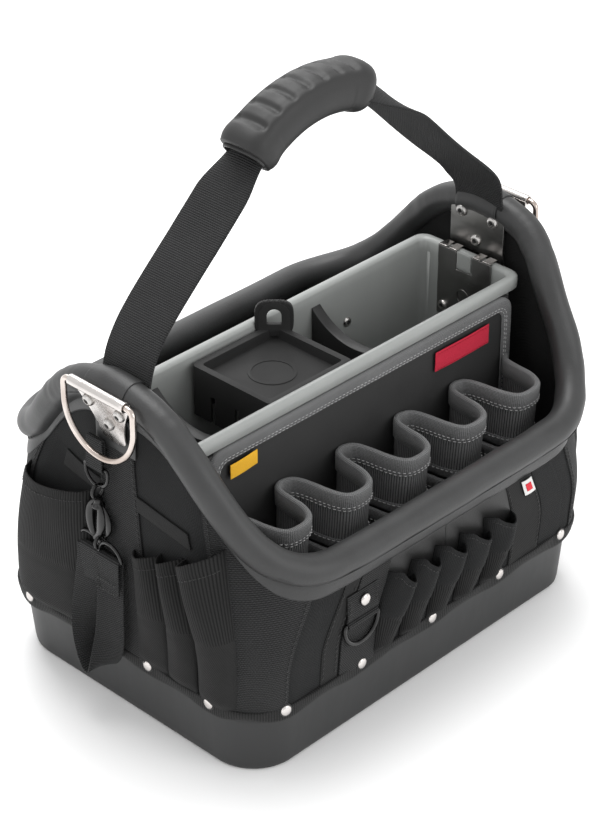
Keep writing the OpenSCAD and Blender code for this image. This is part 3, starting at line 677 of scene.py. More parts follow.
def between_rivets(q):
    """0 at a rivet, rising to 1 halfway to the next."""
    q = q % LENGTH
    for a, b in zip(RIVETS, RIVETS[1:] + [RIVETS[0] + LENGTH]):
        for k in (q, q + LENGTH):
            if a <= k <= b:
                return math.sin(math.pi * (k - a) / (b - a)) ** 2
    return 0.0


def build_band():
    rows = []
    for q in around_bag(540):
        bulge = between_rivets(q)
        lo = BAND_LOW + 1.0 + 3.4 * bulge + 1.2 * wave(q * 0.05, 7.7)
        hi = BAND_TOP + 0.4 * wave(q * 0.06, 1.7)
        p, n = ring_point(q, WX, WY, WR)
        x, y = warp(p, BAND_TOP)
        full = 1.9 * bulge
        prof = [(lo + 0.4, -1.6), (lo, -0.4), (lo + 0.5, 1.1), (lo + 2.5, 1.5 + 0.3 * full),
                ((lo + hi) / 2, 1.5 + 0.8 * full), (hi - 2.0, 1.5 + full), (hi - 0.4, 1.3 + full), (hi, 0.6 + full),
                (hi - 0.2, -0.6)]
        rows.append([(x + n[0] * o, y + n[1] * o, z) for z, o in prof])
    sheet("joining_band_tape", np.array(rows), "band", "bag", wrap_u=True, replaces=["joining_band"])


def build_rivets():
    dome = [(0.2, -0.8), (4.5, -0.8), (4.6, 0.25), (4.4, 0.9), (3.8, 1.4), (2.7, 1.75), (1.4, 1.95), (0.2, 2.0)]
    # the near-black discs laid under the rivet heads are painted shade round each rivet
    shade_ring = [(0.3, 0), (5.6, 0), (5.5, 0.5), (0.3, 0.6)]
    for name, prof, out, mat, nodes in (("rivet_heads", dome, 1.6, "nickel", ["band_rivets"]),
                                        ("rivet_shade_rings", shade_ring, 1.45, "dark_stitch", ())):
        parts = []
        for q in RIVETS:
            p, n = ring_point(q, WX + out, WY + out, WR + out)
            parts.append(lathe(prof, (*warp(p, BAND_TOP), BAND_TOP - 2.6), (*n, 0.06)))
        make(name, *many(parts), mat, "bag", replaces=nodes)


def build_walls():
    """One continuous sewn shell: outside, folded over inside the roll, and lining."""
    nz = 30
    rows, uvs = [], []
    for q in np.append(around_bag(390), LENGTH):
        top = rim_z(q) - 7.0
        out = [BAND_TOP - 6 + (top - BAND_TOP + 6) * j / (nz - 1) for j in range(nz)]
        rows.append([wall_pt(q, z) for z in out] + [wall_pt(q, z, -4.0) for z in out[::-1]])
        uvs.append([(q, z) for z in out] + [(q, 2 * top - z) for z in out[::-1]])
    v, f, uv = grid_data(np.array(rows[:-1]), np.array(uvs), True)
    ob = make("sewn_walls", v, f, "cloth", "bag", uv,
              ["front_wall", "back_wall", "left_wall", "right_wall", "wall_corners"])
    ob.data.materials.append(MAT["lining"])
    for i, p in enumerate(ob.data.polygons):
        p.material_index = 0 if (i % (2 * nz - 1)) <= nz - 1 else 1


def rim_centre(q):
    p, _ = ring_point(q, RX, RY, RR)
    return (*warp(p, rim_z(q)), rim_z(q))


def build_rim():
    n, m = 640, 30
    qs = around_bag(n)
    C = np.array([rim_centre(q) for q in qs])
    S, N = frames(C, closed=True)
    P = np.zeros((n, m, 3))
    for i, q in enumerate(qs):
        bend = abs(rim_z(q + 6) - rim_z(q - 6)) / 12
        for j, t in enumerate(around(m)):
            ct, st = math.cos(t), math.sin(t)
            soft = 0.35 * wave(q * 0.03, ct * 1.3, st * 1.3)
            crease = 0.55 * min(1.0, bend * 1.2) * wave(q * 0.14, ct * 0.9, 5 + st * 0.9)
            P[i, j] = C[i] + (ROLL - 0.2 + soft + crease) * ((1.0 + 0.02 * ct) * ct * S[i] + st * N[i])
    ob = sheet("padded_rim", P, "vinyl", "bag", wrap_u=True, wrap_v=True, flip=True,
               replaces=["rim_roll_front", "rim_roll_back", "rim_roll_left", "rim_roll_right"])


def build_facing():
    """Vinyl strip under the roll, from inside it down the wall."""
    rows = []
    for q in around_bag(520):
        zr = rim_z(q)
        low = zr - 27.0 - 0.8 * wave(q * 0.05, 2.2)
        p, n = ring_point(q, RX, RY, RR)
        x, y = warp(p, zr)
        under_roll = [(x + n[0] * off * 0.93, y + n[1] * off * 0.93, zr - drop)
                      for drop, off in ((5.5, 13.0), (8.5, 10.2), (10.6, 7.2))]
        rows.append(under_roll + [wall_pt(q, z, off - 1.9) for z, off in (
            (zr - 11.8, 4.9), (zr - 12.9, 4.1), (zr - 14.5, 4.6), (zr - 18, 4.6), (low + 2.5, 4.0), (low + 0.5, 3.4),
            (low, 2.4), (low + 0.4, 0.6))])
    sheet("rim_facing_strip", np.array(rows), "vinyl", "bag", wrap_u=True, replaces=["rim_facing"])
    seam = [wall(q, rim_z(q) - 13.1, 2.7) for q in np.linspace(0, LENGTH, 900)]
    stitches("rim_stitches", [p for p, _ in seam], [n for _, n in seam], length=4.2, gap=1.8, r=0.55)


def build_wraps():
    """Sleeve of vinyl over the roll at the top of each end, with a flap down behind the ring plate."""
    for sx, side in SIDES:
        qf = q_left if sx < 0 else q_right
        rows = []
        for y in np.linspace(-33, 31, 17):
            q = qf(y + CY + 1)
            cx, cy, cz = rim_centre(q)
            row = [[cx + sx * math.sin(t) * (ROLL + 1.0), cy, cz + math.cos(t) * (ROLL + 1.0)]
                   for t in np.linspace(math.radians(-150), math.radians(100), 26)]
            x0, _, z0 = row[-1]
            for f in np.arange(1, 9) / 8:
                z = z0 + (256 - z0) * f
                x = abs(x0) + (abs(wall_pt(q, z, 2.6)[0]) - abs(x0)) * ease(f * 1.5)
                row.append([sx * x, cy, z])
            rows.append(row)
        sheet("roll_wrap_" + side, np.array(rows), "vinyl", "bag", 1.1, ["roll_wraps"] if sx < 0 else (), flip=sx < 0,
              offset=1.0, bevel=0.4)


def build_end_webbing():
    for nm, qf in ENDS:
        a, b = sorted((qf(CY - WEB), qf(CY + WEB)))
        patch("end_webbing_" + nm, a, b, BAND_TOP - 3, 272, 1.7, "webbing", 1.6, ["end_webbing"] if nm == "left" else ())
        for k, y in enumerate((CY - 22.8, CY + 22.8)):
            wall_stitch("end_webbing_stitch_%s_%d" % (nm, k), qf(y), 1.9, 255, 60, (-1 if nm == "left" else 1, 0, 0))
        # cross bands sewn over the end, front part and back part
        for k, (ya, yb, za, zb) in enumerate(((CY - 96, CY - 25, 214, 222), (CY + 25, CY + 84, 221, 227))):
            def low(q, qa=qf(ya), qb=qf(yb), za=za, zb=zb):
                return za + (zb - za) * (q - qa) / (qb - qa) - 13
            patch("end_band_%s_%d" % (nm, k), *sorted((qf(ya), qf(yb))), low, lambda q: low(q) + 13.5, 1.9, "twill", 1.3)


def build_corner_webbing():
    for k, (qa, qb) in enumerate((
            (LENGTH - FLAT_X - ARC + 12, LENGTH - FLAT_X - 10), (START_R - ARC + 10, START_R - 12),
            (START_B - ARC + 12, START_B - 10), (START_L - ARC + 10, START_L - 12))):
        patch("corner_webbing_%d" % k, qa, qb, BAND_TOP - 3, lambda q: rim_z(q) - 24, 1.5, "webbing", 1.5,
              ["corner_webbing"] if k == 0 else ())
        for e, q in enumerate((qa + 2.4, qb - 2.4)):
            wall_stitch("corner_stitch_%d_%d" % (k, e), q, 1.75, rim_z(q) - 28, 60, wall(q, 100)[1])


def build_wall_trim():
    def top(q):
        return rim_z(q) - 25.0
    # seams and strips on the front, and a smooth panel above the pockets, in two lengths that meet behind the middle one
    for name, a, b, z0, off, mat, thick, nodes in (
            ("front_strip_right", 88, 125, BAND_TOP - 3, 1.5, "twill", 1.4, ["wall_webbing"]),
            ("front_strip_far", 127, 158, BAND_TOP - 3, 0.5, "cloth", 0.9, ()),
            ("front_strip_left", -139, -120, BAND_TOP - 3, 1.0, "twill", 1.2, ()),
            ("front_smooth_a", -122, -0.01, 112, 0.9, "sheet_vinyl", 1.0, ()),
            ("front_smooth_b", 0, 90, 108, 0.9, "sheet_vinyl", 1.0, ())):
        patch(name, q_front(a), q_front(b), z0, top, off, mat, thick, nodes)
    for k, x in enumerate((-137, -123, 90, 123)):
        wall_stitch("front_seam_%d" % k, q_front(x), 1.75 if x > 0 else 1.25, 150, 50, (0, -1, 0))
    for k, x in enumerate((98, -60)):
        qa, qb = q_back(x), q_back(x - 38)
        patch("back_strip_%d" % k, qa, qb, BAND_TOP - 3, top, 1.3, "webbing", 1.4)
        for e, q in enumerate((qa + 2.2, qb - 2.2)):
            wall_stitch("back_seam_%d_%d" % (k, e), q, 1.5, 172, 50, (0, 1, 0))


def bell(t, middle, width):
    return math.exp(-((t - middle) / width) ** 2)


def pocket(name, qf, a, b, depth, za, zb, mats=("twill", "cord_cloth"), lean=0.0, low_depth=0.45, split=0.45, hem=9.0,
           full=2.2, foot=1.0, shift=0.0, curl=0.0):
    """A pleated pocket on the wall from plan position a to b, mouth height za..zb. The foot may be narrower and moved
    along, and a curl rolls up the first edge of the mouth."""
    na, nv = 25, 34
    z_foot = BAND_TOP - 2
    middle = (a + b) / 2
    P = np.zeros((na, nv, 3))
    for i in range(na):
        t = i / (na - 1)
        top = za + (zb - za) * t + curl * (bell(t, 0.10, 0.09) - 0.8 * bell(t, 0.42, 0.2) + 0.7 * bell(t, 1.0, 0.12))
        belly = (1 - abs(2 * t - 1) ** full) ** (1 / 1.5)
        for j in range(nv):
            f = j / (nv - 1)
            z = z_foot + (top - z_foot) * f
            off = depth * (low_depth + (1 - low_depth) * ease(f * 1.15)) * belly
            off *= 0.2 + 0.8 * ease((z - BAND_TOP + 1) / 9)
            off -= 0.9 * bell(f, split, 0.022) * min(1.0, belly * 1.5)
            if top - z < hem:
                off += 0.55 * ease((hem - (top - z)) / 1.2) * min(1.0, belly * 2)
            off += 0.9 * wave(a * 0.31 + t * 2.2, f * 2.6, 4.4) * belly
            off += 0.45 * curl * bell(t, 0.12, 0.1) * ease((f - 0.72) / 0.28)
            u = t + lean * math.sin(math.pi * t) * (0.25 + 0.75 * f) + 0.06 * math.sin(2 * math.pi * t) * f
            narrow = foot + (1 - foot) * ease(f * 1.1)
            P[i, j] = wall_pt(qf(middle + (a + (b - a) * u - middle) * narrow + shift * (1 - f)), z, off + 0.9)
    ob = sheet(name, P, mats[0], "bag", 1.3, flip=qf(b) < qf(a), bevel=0.3)
    ob.data.materials.append(MAT[mats[1]])
    cut = z_foot + (max(za, zb) - z_foot) * split
    for p in ob.data.polygons:
        if p.center.z > cut * MM:
            p.material_index = 1
    row = nv - 1 - max(1, int(round(hem / ((za + zb) / 2 - BAND_TOP) * nv)))
    n_out = wall(qf(middle), 100)[1]
    stitches(name + "_hem", P[1:-1, row] + np.array(n_out) * 0.3, n_out, length=2.6, gap=1.2, r=0.3)
    return ob


def build_pockets():
    for k, (a, b, d, za, zb) in enumerate(((-78, -42, 15.5, 141, 125), (-46, -9.5, 15, 138.5, 126),
                                           (-13.5, 23.5, 15, 137, 124.5), (19.5, 56, 15, 134.5, 120),
                                           (52, 90, 15, 134.5, 122))):
        # LENGTH is added so that the pocket across the middle of the front has no jump in q
        pocket("front_pocket_%d" % k, lambda x: LENGTH + x, a, b, d, za, zb, ("cord_cloth", "cloth"), lean=0.10,
               low_depth=0.55, split=0.5, full=2.0, foot=0.52, shift=-11.0, curl=4.0, hem=4.0)
    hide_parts("front_pockets")
    for k, (c, w) in enumerate(((-104, 70), (0, 70), (104, 44))):
        pocket("back_pocket_%d" % k, q_back, c - w / 2, c + w / 2, 14, 150, 150, low_depth=0.4, full=3.0)
    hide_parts("back_pockets")
    for nm, qf in ENDS:
        for key, a, b, d, za, zb, full, hem, split in (
                ("corner", -124, -88, 19, 211, 190, 2.4, 10, 0.47), ("middle", -86, -54, 15, 190, 182, 2.2, 10, 0.47),
                ("narrow", -54, -20, 12, 180, 172, 2.2, 9, 0.47), ("wide", 31, 120, 18.5, 206, 198, 3.4, 10, 0.42)):
            ob = pocket("%s_pocket_%s" % (nm, key), qf, a, b, d, za, zb, low_depth=0.35, split=split, full=full, hem=hem)
            if key == "corner":
                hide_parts(nm + "_end_pockets")


def build_front_tab():
    cx, y0, z0 = joint_mm("front_ring_swing")
    q = LENGTH + cx
    patch("ring_tab_base", q - 20, q + 20, BAND_TOP - 3, lambda q: rim_z(q) - 25, 2.0, "webbing", 1.6, ["front_ring_tab"])
    # folded loop that carries the ring
    prof = [(abs(wall_pt(q, z, off)[1]), z) for z, off in ((142, 2.6), (134, 3.4), (126, 4.0), (121, 4.6))]
    prof += arc(-y0, z0, 3.2, 75, -160, 14)
    P = np.array([[(cx + x, -p, z) for p, z in prof] for x in np.linspace(-17, 17, 12)])
    sheet("ring_tab_fold", P, "webbing", "bag", 1.3, offset=1.0, bevel=0.3)
    for k, x in enumerate((-15, 15)):
        line = [(cx + x, wall_pt(q, z, 4.6)[1], z) for z in np.linspace(124, 141, 12)]
        stitches("ring_tab_stitch_%d" % k, line, (0, -1, 0), length=2.6, gap=1.2)
    dome = [(0.2, -0.8), (5.2, -0.8), (5.3, 0.3), (4.9, 1.2), (3.6, 1.8), (1.6, 2.1), (0.2, 2.15)]
    v, f = lathe(dome, (cx + 1, wall_pt(q, 132, 5.0)[1], 132.5), (0, -1, 0.05))
    make("tab_rivet_head", v, f, "nickel", "bag", replaces=["tab_rivet"])
    ring_wire("small_ring", (cx, y0, z0), (1, 0, 0), 19.0, 3.8, 1.75, "black_wire", "front_ring", ["small_d_ring"])
    # woven tag by the right strip
    for name, xa, xb, nx, za, zb, nz, out, mat, thick, nodes, bevel in (
            ("small_tag", 108, 123, 8, 133.5, 150, 8, 3.4, "white_tag", 0.6, ["size_tag"], 0.15),
            ("small_tag_mark", 111.5, 119.5, 6, 137.5, 146, 6, 3.75, "tag_red_mark", 0.25, (), 0.0)):
        P = np.array([[wall_pt(q_front(x), z, out + 0.5 * math.sin((x - 108) / 4)) for z in np.linspace(za, zb, nz)]
                      for x in np.linspace(xa, xb, nx)])
        sheet(name, P, mat, "bag", thick, nodes, bevel=bevel)


def ring_path_d(r, leg):
    """Closed D path in (side, down): straight bar at the top."""
    corner = r * 0.16
    flat = r - corner
    path = [(s, 0.0) for s in np.linspace(-flat, flat, 16)]
    path += [(x, -y) for x, y in arc(flat, -corner, corner, 90, 0, 7)[1:]]
    path += [(r, d) for d in np.linspace(corner, leg, 6)[1:]]
    path += arc(0, leg, r, 0, 180, 40)[1:]
    path += [(-r, d) for d in np.linspace(leg, corner, 6)[1:]]
    return path + [(x, -y) for x, y in arc(-flat, -corner, corner, 180, 90, 7)[1:-1]]


def ring_wire(name, centre, side, r, leg, wire, mat, body, replaces):
    c, s = np.array(centre, float), np.array(side, float)
    C = np.array([c + s * a + np.array([0, 0, -1.0]) * d for a, d in ring_path_d(r, leg)])
    tube(name, C, wire, mat, body, 16, True, np.cross(s, [0, 0, 1.0]), replaces)


def bolt(place, normal, r, h, parts, sockets):
    """A domed screw head with a hexagon socket."""
    dome = [(0.2, -1.0), (r, -1.0), (r, 0.5), (r * 0.93, h * 0.55), (r * 0.78, h * 0.86), (r * 0.6, h), (r * 0.42, h),
            (r * 0.40, h - 0.9), (0.2, h - 0.9)]
    parts.append(lathe(dome, place, normal, 30))
    socket = ((0.2, h - 0.95), (r * 0.38, h - 0.95), (r * 0.38, h - 0.6), (0.2, h - 0.6))
    sockets.append(lathe(socket, place, normal, 6))


def make_bolts(heads, sockets, body, parts, holes, replaces):
    harden(make(heads, *many(parts), "screw", body, replaces=replaces), 40)
    make(sockets, *many(holes), "socket", body)


def plate(name, outline, place, thick, mat, body, replaces=(), bevel=0.4):
    """Flat plate from an outline, set in place by a function of (a, b, height)."""
    bm = bmesh.new()
    face = bm.faces.new([bm.verts.new((a, b, 0)) for a, b in outline])
    ext = bmesh.ops.extrude_face_region(bm, geom=[face])
    for v in [g for g in ext["geom"] if isinstance(g, bmesh.types.BMVert)]:
        v.co.z += thick
    bmesh.ops.recalc_face_normals(bm, faces=bm.faces)
    sharp = [e for e in bm.edges if len(e.link_faces) == 2 and e.calc_face_angle() > 1.0]
    bmesh.ops.bevel(bm, geom=sharp, offset=bevel, segments=3, profile=0.5, affect="EDGES")
    for v in bm.verts:
        v.co = Vector(place(v.co.x, v.co.y, v.co.z)) * MM
    bmesh.ops.recalc_face_normals(bm, faces=bm.faces)
    me = bpy.data.meshes.new(name)
    bm.to_mesh(me)
    bm.free()
    harden(new_object(name, me, mat, body, replaces), 30)


def round_outline(hx, hy, r):
    x, y = hx - r, hy - r
    return [p for cx, cy, a in ((x, y, 0), (-x, y, 90), (-x, -y, 180), (x, -y, 270)) for p in arc(cx, cy, r, a, a + 90, 9)]


def build_end_hardware():
    tilt = math.radians(15.5)
    px = 200.0  # face of the inner strap plate
    for sx, nm in SIDES:
        hx, _, hz = joint_mm(nm + "_ring_swing")
        hx = abs(hx)

        def on(a, b, h, sx=sx):
            return (sx * (213.8 + b * math.sin(tilt) + h * math.cos(tilt)), CY + a,
                    264 + b * math.cos(tilt) - h * math.sin(tilt))

        def inner(a, b, h, sx=sx):
            return (sx * (px + 1.6 - h), CY + a, 288 + b)
        edge = [(13 + 17 * v ** 1.6, 5 + 41 * v) for v in np.linspace(0, 1, 14)]
        outline = [(-a, b) for a, b in edge] + edge[::-1]
        outline += [(11.5, 2.4), (8.5, 0.6), (4, 0.0), (-4, 0.0), (-8.5, 0.6), (-11.5, 2.4)]
        plate("ring_plate_" + nm, outline, on, 1.6, "nickel", "bag", [nm + "_ring_plate"], 0.35)
        # rolled sleeve for the ring
        tail = on(0, 44, 0.8)
        prof = arc(hx, hz, 4.3, 200, -140, 30) + [(abs(tail[0]) + 1.2, tail[2] + 1.8)]
        P = np.array([[(sx * x, CY + y, z) for x, z in prof] for y in np.linspace(-30, 30, 9)])
        sheet("ring_sleeve_" + nm, P, "nickel", "bag", 1.3, offset=float(sx), bevel=0.3)
        ring_wire("large_ring_" + nm, (sx * hx, CY, hz), (0, 1, 0), 38.0, 18.0, 2.5, "ring_metal", nm + "_ring",
                  [nm + "_d_ring"])
        parts, sockets = [], []
        for a, b in ((-17, 37), (17, 37), (0, 20)):
            bolt(on(a, b, 1.6), (sx * math.cos(tilt), 0, -math.sin(tilt)), 5.4, 3.0, parts, sockets)
        plate("strap_plate_" + nm, round_outline(29, 22, 4), inner, 1.6, "steel", "bag", [nm + "_strap_plate"], 0.35)
        for a, z in ((-17, 300), (17, 300), (0, 277)):
            bolt((sx * px, CY + a, z), (-sx, 0, 0), 5.4, 2.9, parts, sockets)
        make_bolts("end_screws_" + nm, "end_sockets_" + nm, "bag", parts, sockets,
                   ["ring_plate_screws", "strap_plate_screws"] if sx < 0 else ())
        # webbing anchor pad between wall and plate
        P = np.array([[(sx * (204.2 + 0.36 * math.cos(y / 9.0)), CY + y, z) for z in np.linspace(238, 312, 20)]
                      for y in np.linspace(-27, 27, 14)])
        sheet("strap_anchor_" + nm, P, "webbing", "bag", 3.6, ["strap_anchors"] if sx < 0 else (), offset=0.0, bevel=0.5)


# ---------------------------------------------------------------- hook and tape strap


def build_hook():
    hx, hy, _ = joint_mm("link_swing")
    a = around(40)
    # tab from behind the ring plate down to the wire ring
    prof = [(2.6, 262), (2.2, 254), (2.4, 246), (2.6, 240)] + arc(0, 236, 2.9, 60, -200, 16)
    prof += [(-2.6, 242), (-1.6, 250), (-1.0, 262)]
    P = np.array([[(hx + x, hy + y, z) for x, z in prof] for y in np.linspace(-9, 9, 9)])
    sheet("hook_tab_loop", P, "webbing", "bag", 1.1, ["hook_tab"], offset=1.0, bevel=0.25)
    ring_wire("hook_wire_ring", (hx, hy, 236), (0, 1, 0), 12.5, 5.0, 1.4, "black_wire", "link", ["split_ring"])

    def loop(name, points, r, body, up, n, **more):
        tube(name, points, r, "black_wire", body, n, up=up, **more)
    loop("hook_eye", [(hx + 5.4 * math.cos(t), hy, 213.4 + 5.4 * math.sin(t)) for t in a], 1.55, "snap", (0, 1, 0), 14,
         closed=True, replaces=["snap_hook"])
    prof = ((0.3, 0), (4.4, 0), (5.4, 0.8), (5.4, 2.4), (4.2, 3.4), (3.4, 5.6), (3.9, 7.2), (3.4, 8.4), (0.3, 8.6))
    make("hook_swivel", *lathe(prof, (hx, hy, 198.8), (0, 0, 1)), "black_wire", "snap")
    # hook body: two glossy curved leaves joined at the foot
    leaves = (((1, 203), (6, 201), (10.2, 195), (11.2, 186), (10.2, 177), (6.5, 169.5), (1, 166.4), (-4, 167.2)),
              ((0, 203.5), (-3.6, 200), (-4.8, 192), (-3.4, 182), (0.2, 173), (4.6, 168.5)))
    for k, pts in enumerate(leaves):
        C = smooth_path([(hx - 1.5 * k, hy + y, z) for y, z in pts], 1.2)
        s = np.linspace(0, 1, len(C))
        rad = 2.4 + 2.2 * np.sin(math.pi * np.clip(s * 1.15, 0, 1)) ** 1.5
        loop("hook_leaf_%d" % k, C, rad, "snap", (1, 0, 0), 18, squash=0.62)
    # gate lever with a thumb piece
    pts = [(-5.2, 172.4), (-9.0, 177), (-10.6, 184), (-9.6, 192), (-6.0, 198.5), (-2.4, 201.4)]
    C = smooth_path([(hx + 0.6, hy + y, z) for y, z in pts], 1.2)
    rad = 1.4 + 2.0 * np.sin(math.pi * np.linspace(0, 1, len(C))) ** 1.4
    loop("gate_lever", C, rad, "gate", (1, 0, 0), 16, replaces=["hook_gate"], squash=0.7)
    # wire rings side by side, each with a bar that carries one end of the webbing
    loop("tape_eye", [(hx + 5.2 * math.cos(t), hy, 166.2 + 5.2 * math.sin(t)) for t in a], 1.4, "tape_holder", (0, 1, 0),
         14, closed=True, replaces=["tape_ring"])
    ends = ((12.0, 0.4), (-12.6, -1.2))
    for k, (cy, dx) in enumerate(ends):
        C = [(hx + dx - 1.2 * math.sin(t), hy + cy + 12.4 * math.cos(t),
              158.6 + (12.6 if math.sin(t) > 0 else 3.0) * math.sin(t)) for t in a]
        loop("tape_d_%d" % k, C, 1.5, "tape_holder", (1, 0, 0), 14, closed=True)
    # one length of webbing: down from the far ring, round a twisted foot and up to the near ring
    line = smooth_path([(hx + x, hy + y, z) for x, y, z in (
        (0.4, 12.0, 157.0), (-0.6, 12.4, 140), (-3.0, 14.5, 112), (-5.5, 14.5, 84), (-7.5, 9.5, 60), (-8.0, 1.0, 47.5),
        (-7.6, -7.0, 55), (-6.2, -13.0, 80), (-4.4, -13.6, 112), (-2.4, -12.8, 136), (-1.2, -12.6, 153.0))], 2.0)
    T = unit(np.gradient(line, axis=0))
    n = len(line)
    half = 12.4
    across = np.linspace(-1, 1, 11)
    P = np.zeros((11, n, 3))
    for i in range(n):
        turn = math.radians(14 + 62 * bell(i / (n - 1), 0.47, 0.17))
        w = np.array([-math.sin(turn), math.cos(turn), 0.0])
        w = unit(w - T[i] * w.dot(T[i]))
        for j, wv in enumerate(across):
            P[j, i] = line[i] + w * half * wv + np.cross(w, T[i]) * (0.7 * (1 - wv * wv) + 0.3 * wave(i * 0.08, wv, 8.1))
    uvg = np.array([[(half * wv, i * 2.0) for i in range(n)] for wv in across])
    sheet("tape_webbing", P, "webbing", "tape_holder", 1.5, ["tape_strap"], uvg, offset=0.0, bevel=0.3)
    # folded ends round the bars, sewn down with a box of stitches on the near one
    prof = [(1.4, 140)] + arc(0, 156, 2.9, 0, 180, 12) + [(-2.7, 150), (-2.5, 139), (-2.3, 128)]
    for k, (cy, dx) in enumerate(ends):
        P = np.array([[(hx + dx + x - 0.045 * (156 - z), hy + cy + y, z) for x, z in prof]
                      for y in np.linspace(-12.2, 12.2, 9)])
        sheet("tape_end_%d" % k, P, "webbing", "tape_holder", 1.3, offset=0.0, bevel=0.3)
    for k, z in enumerate((137.5, 129.5)):
        row = [(hx - 5.6 - 0.05 * (156 - z), hy - 12.6 + y, z) for y in np.linspace(-11, 11, 12)]
        stitches("tape_bar_tack_%d" % k, row, (-1, 0, 0), body="tape_holder", length=2.2, gap=0.8, r=0.5)


# ---------------------------------------------------------------- handle


def build_handle():
    gz, R = 481.0, 117.7
    turns = (math.radians(-39.6), math.radians(22.5))

    def on_arc(t, up=0.0, side=0.0):
        return np.array([(R + up) * math.sin(t), CY + side, gz - R + (R + up) * math.cos(t)])

    def forward(t):
        return np.array([math.cos(t), 0, -math.sin(t)])
    nt, ns = 110, 56
    P = np.zeros((nt, ns, 3))
    for i in range(nt):
        f = i / (nt - 1)
        t = turns[0] + (turns[1] - turns[0]) * f
        edge = min(f, 1 - f)
        swell = 1.0 - 0.05 * bell(edge, 0, 0.02) + 0.05 * bell(edge, 0.07, 0.05) - 0.03 * math.sin(math.pi * f)
        for j, a in enumerate(around(ns)):
            ca, sa = math.cos(a), math.sin(a)
            rad = oval(a, 20.0 * swell, 22.0 * swell, 2.6)
            up, side = rad * ca, rad * sa
            if ca > 0.2 and abs(side) < 16 and 0.10 < f < 0.90:
                # ribbed inlay along the top
                inset = ease((16 - abs(side)) / 2.0) * ease((f - 0.10) / 0.02) * ease((0.90 - f) / 0.02)
                up -= inset * (0.8 + 2.0 * (0.5 + 0.5 * math.cos(2 * math.pi * (f - 0.5) * 8.5)) ** 3)
            if 0.16 < f < 0.84 and abs(sa) > 0.8:
                # shallow flat on each side
                flat = 0.5 * ease((abs(sa) - 0.8) / 0.1)
                side -= math.copysign(flat, sa) * ease((f - 0.16) / 0.02) * ease((0.84 - f) / 0.02)
            P[i, j] = on_arc(t, up, side)
    v, f, uv = grid_data(P, None, False, True)
    # end faces stepped in to the channel
    for end, t in enumerate(turns):
        c = on_arc(t)
        i = end * (nt - 1)
        turn = 1 if end else -1
        loops = [list(range(i * ns, i * ns + ns))]
        for scale, push in ((0.86, 0.9), (0.74, 0.7), (0.70, -2.0), (0.66, -14.0)):
            loops.append(list(range(len(v), len(v) + ns)))
            v = np.vstack([v, c + (P[i] - c) * scale + forward(t) * push * turn])
        for A, B in zip(loops[:-1], loops[1:]):
            for j in range(ns):
                k = (j + 1) % ns
                f.append([A[j], A[k], B[k], B[j]][::turn])
                uv.append([(0, 0)] * 4)
        f.append(loops[-1][::turn])
        uv.append([(0, 0)] * ns)
    ob = make("rubber_grip", v, f, "rubber", "handle", uv, ["grip"])
    bm = bmesh.new()
    bm.from_mesh(ob.data)
    bmesh.ops.recalc_face_normals(bm, faces=bm.faces)
    bm.to_mesh(ob.data)
    bm.free()
    # liner lips
    for (end, nm), t in zip(SIDES, turns):
        rows = []
        for a, push in ((12.6, -7.0), (13.0, 1.6), (12.6, 2.6), (11.4, 2.6), (10.8, 1.0), (10.6, -7.0)):
            rows.append([on_arc(t, rad * math.cos(g), rad * math.sin(g)) + forward(t) * push * end
                         for g in around(40) for rad in (oval(g, a * 0.86, a * 1.5, 3.0),)])
        sheet("grip_liner_" + nm, np.array(rows), "divider", "handle", wrap_v=True, flip=end > 0,
              replaces=["grip_liner"] if end < 0 else ())
    # webbing: from behind the strap plate up into the grip
    foot = [(202.6, 268), (202.6, 290), (202.6, 306)]
    straps = (
        (foot + [(201.6, 318), (197.5, 332), (188, 348), (175, 362.5), (150, 385.5), (123, 409), (97, 433), (84, 446),
                 (75, 454), (69.5, 458.5)], 0.0, (44, 40), 7.2, 5.5),
        (foot + [(201.6, 320), (197.6, 333), (188, 347.5), (174, 361), (150, 381.5), (124, 405.5), (103, 425.5),
                 (78, 448), (60, 463), (46, 471.5), (38, 474.5)], 5.0, (80, 70), 4.0, 14.0))
    step = 2.6
    across = np.linspace(-1, 1, 17)
    for (sx, nm), (pts, twist, (reach, fade), narrow, cup_depth) in zip(SIDES, straps):
        C = smooth_path([(sx * x, CY, z) for x, z in pts], step, 2)
        S, _ = frames(C, up=(0, 1, 0))
        n = len(C)
        P = np.zeros((17, n, 3))
        for i in range(n):
            pinch = ease((reach - (n - 1 - i) * step) / fade)
            cup = cup_depth * pinch + 1.0 * math.sin(math.pi * min(1, i / n * 1.4))
            out = S[i] * (1 if S[i][2] > 0 else -1)
            for j, wv in enumerate(across):
                bow = cup * (1 - wv * wv) - cup * 0.55
                ripple = 0.5 * wave(i * 0.05, wv * 1.4, sx * 3.3)
                turn = -twist * wv * ease((C[i][2] - 318) / 26) * (1 - pinch)
                P[j, i] = C[i] + np.array([0, (WEB - narrow * pinch) * wv, 0]) + out * (bow + ripple + turn)
        uvg = np.array([[(WEB * wv, i * step) for i in range(n)] for wv in across])
        ob = sheet("handle_webbing_" + nm, P, "webbing", None, 2.3, UV=uvg, offset=0.0, bevel=0.4, flip=sx > 0)
        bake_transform(ob)
        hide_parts(nm + "_handle_strap")


# ---------------------------------------------------------------- tote


def rounded(hx, hy, r, t):
    """Closed outline point by fraction t, anticlockwise from the middle of the front."""
    ax, ay, quarter = hx - r, hy - r, r * math.pi / 2
    q = (t % 1.0) * (4 * ax + 4 * ay + 4 * quarter)
    for kind, size in (("f1", ax), (0, quarter), ("r", 2 * ay), (1, quarter), ("b", 2 * ax), (2, quarter),
                       ("l", 2 * ay), (3, quarter), ("f0", ax)):
        if q <= size:
            break
        q -= size
    flat = {"f1": (q, -hy), "f0": (-ax + q, -hy), "r": (hx, -ay + q), "b": (ax - q, hy), "l": (-hx, ay - q)}
    if kind in flat:
        return flat[kind]
    a = math.radians(-90 + 90 * kind) + q / r
    return ax * (1 if kind in (0, 1) else -1) + r * math.cos(a), ay * (-1 if kind in (0, 3) else 1) + r * math.sin(a)


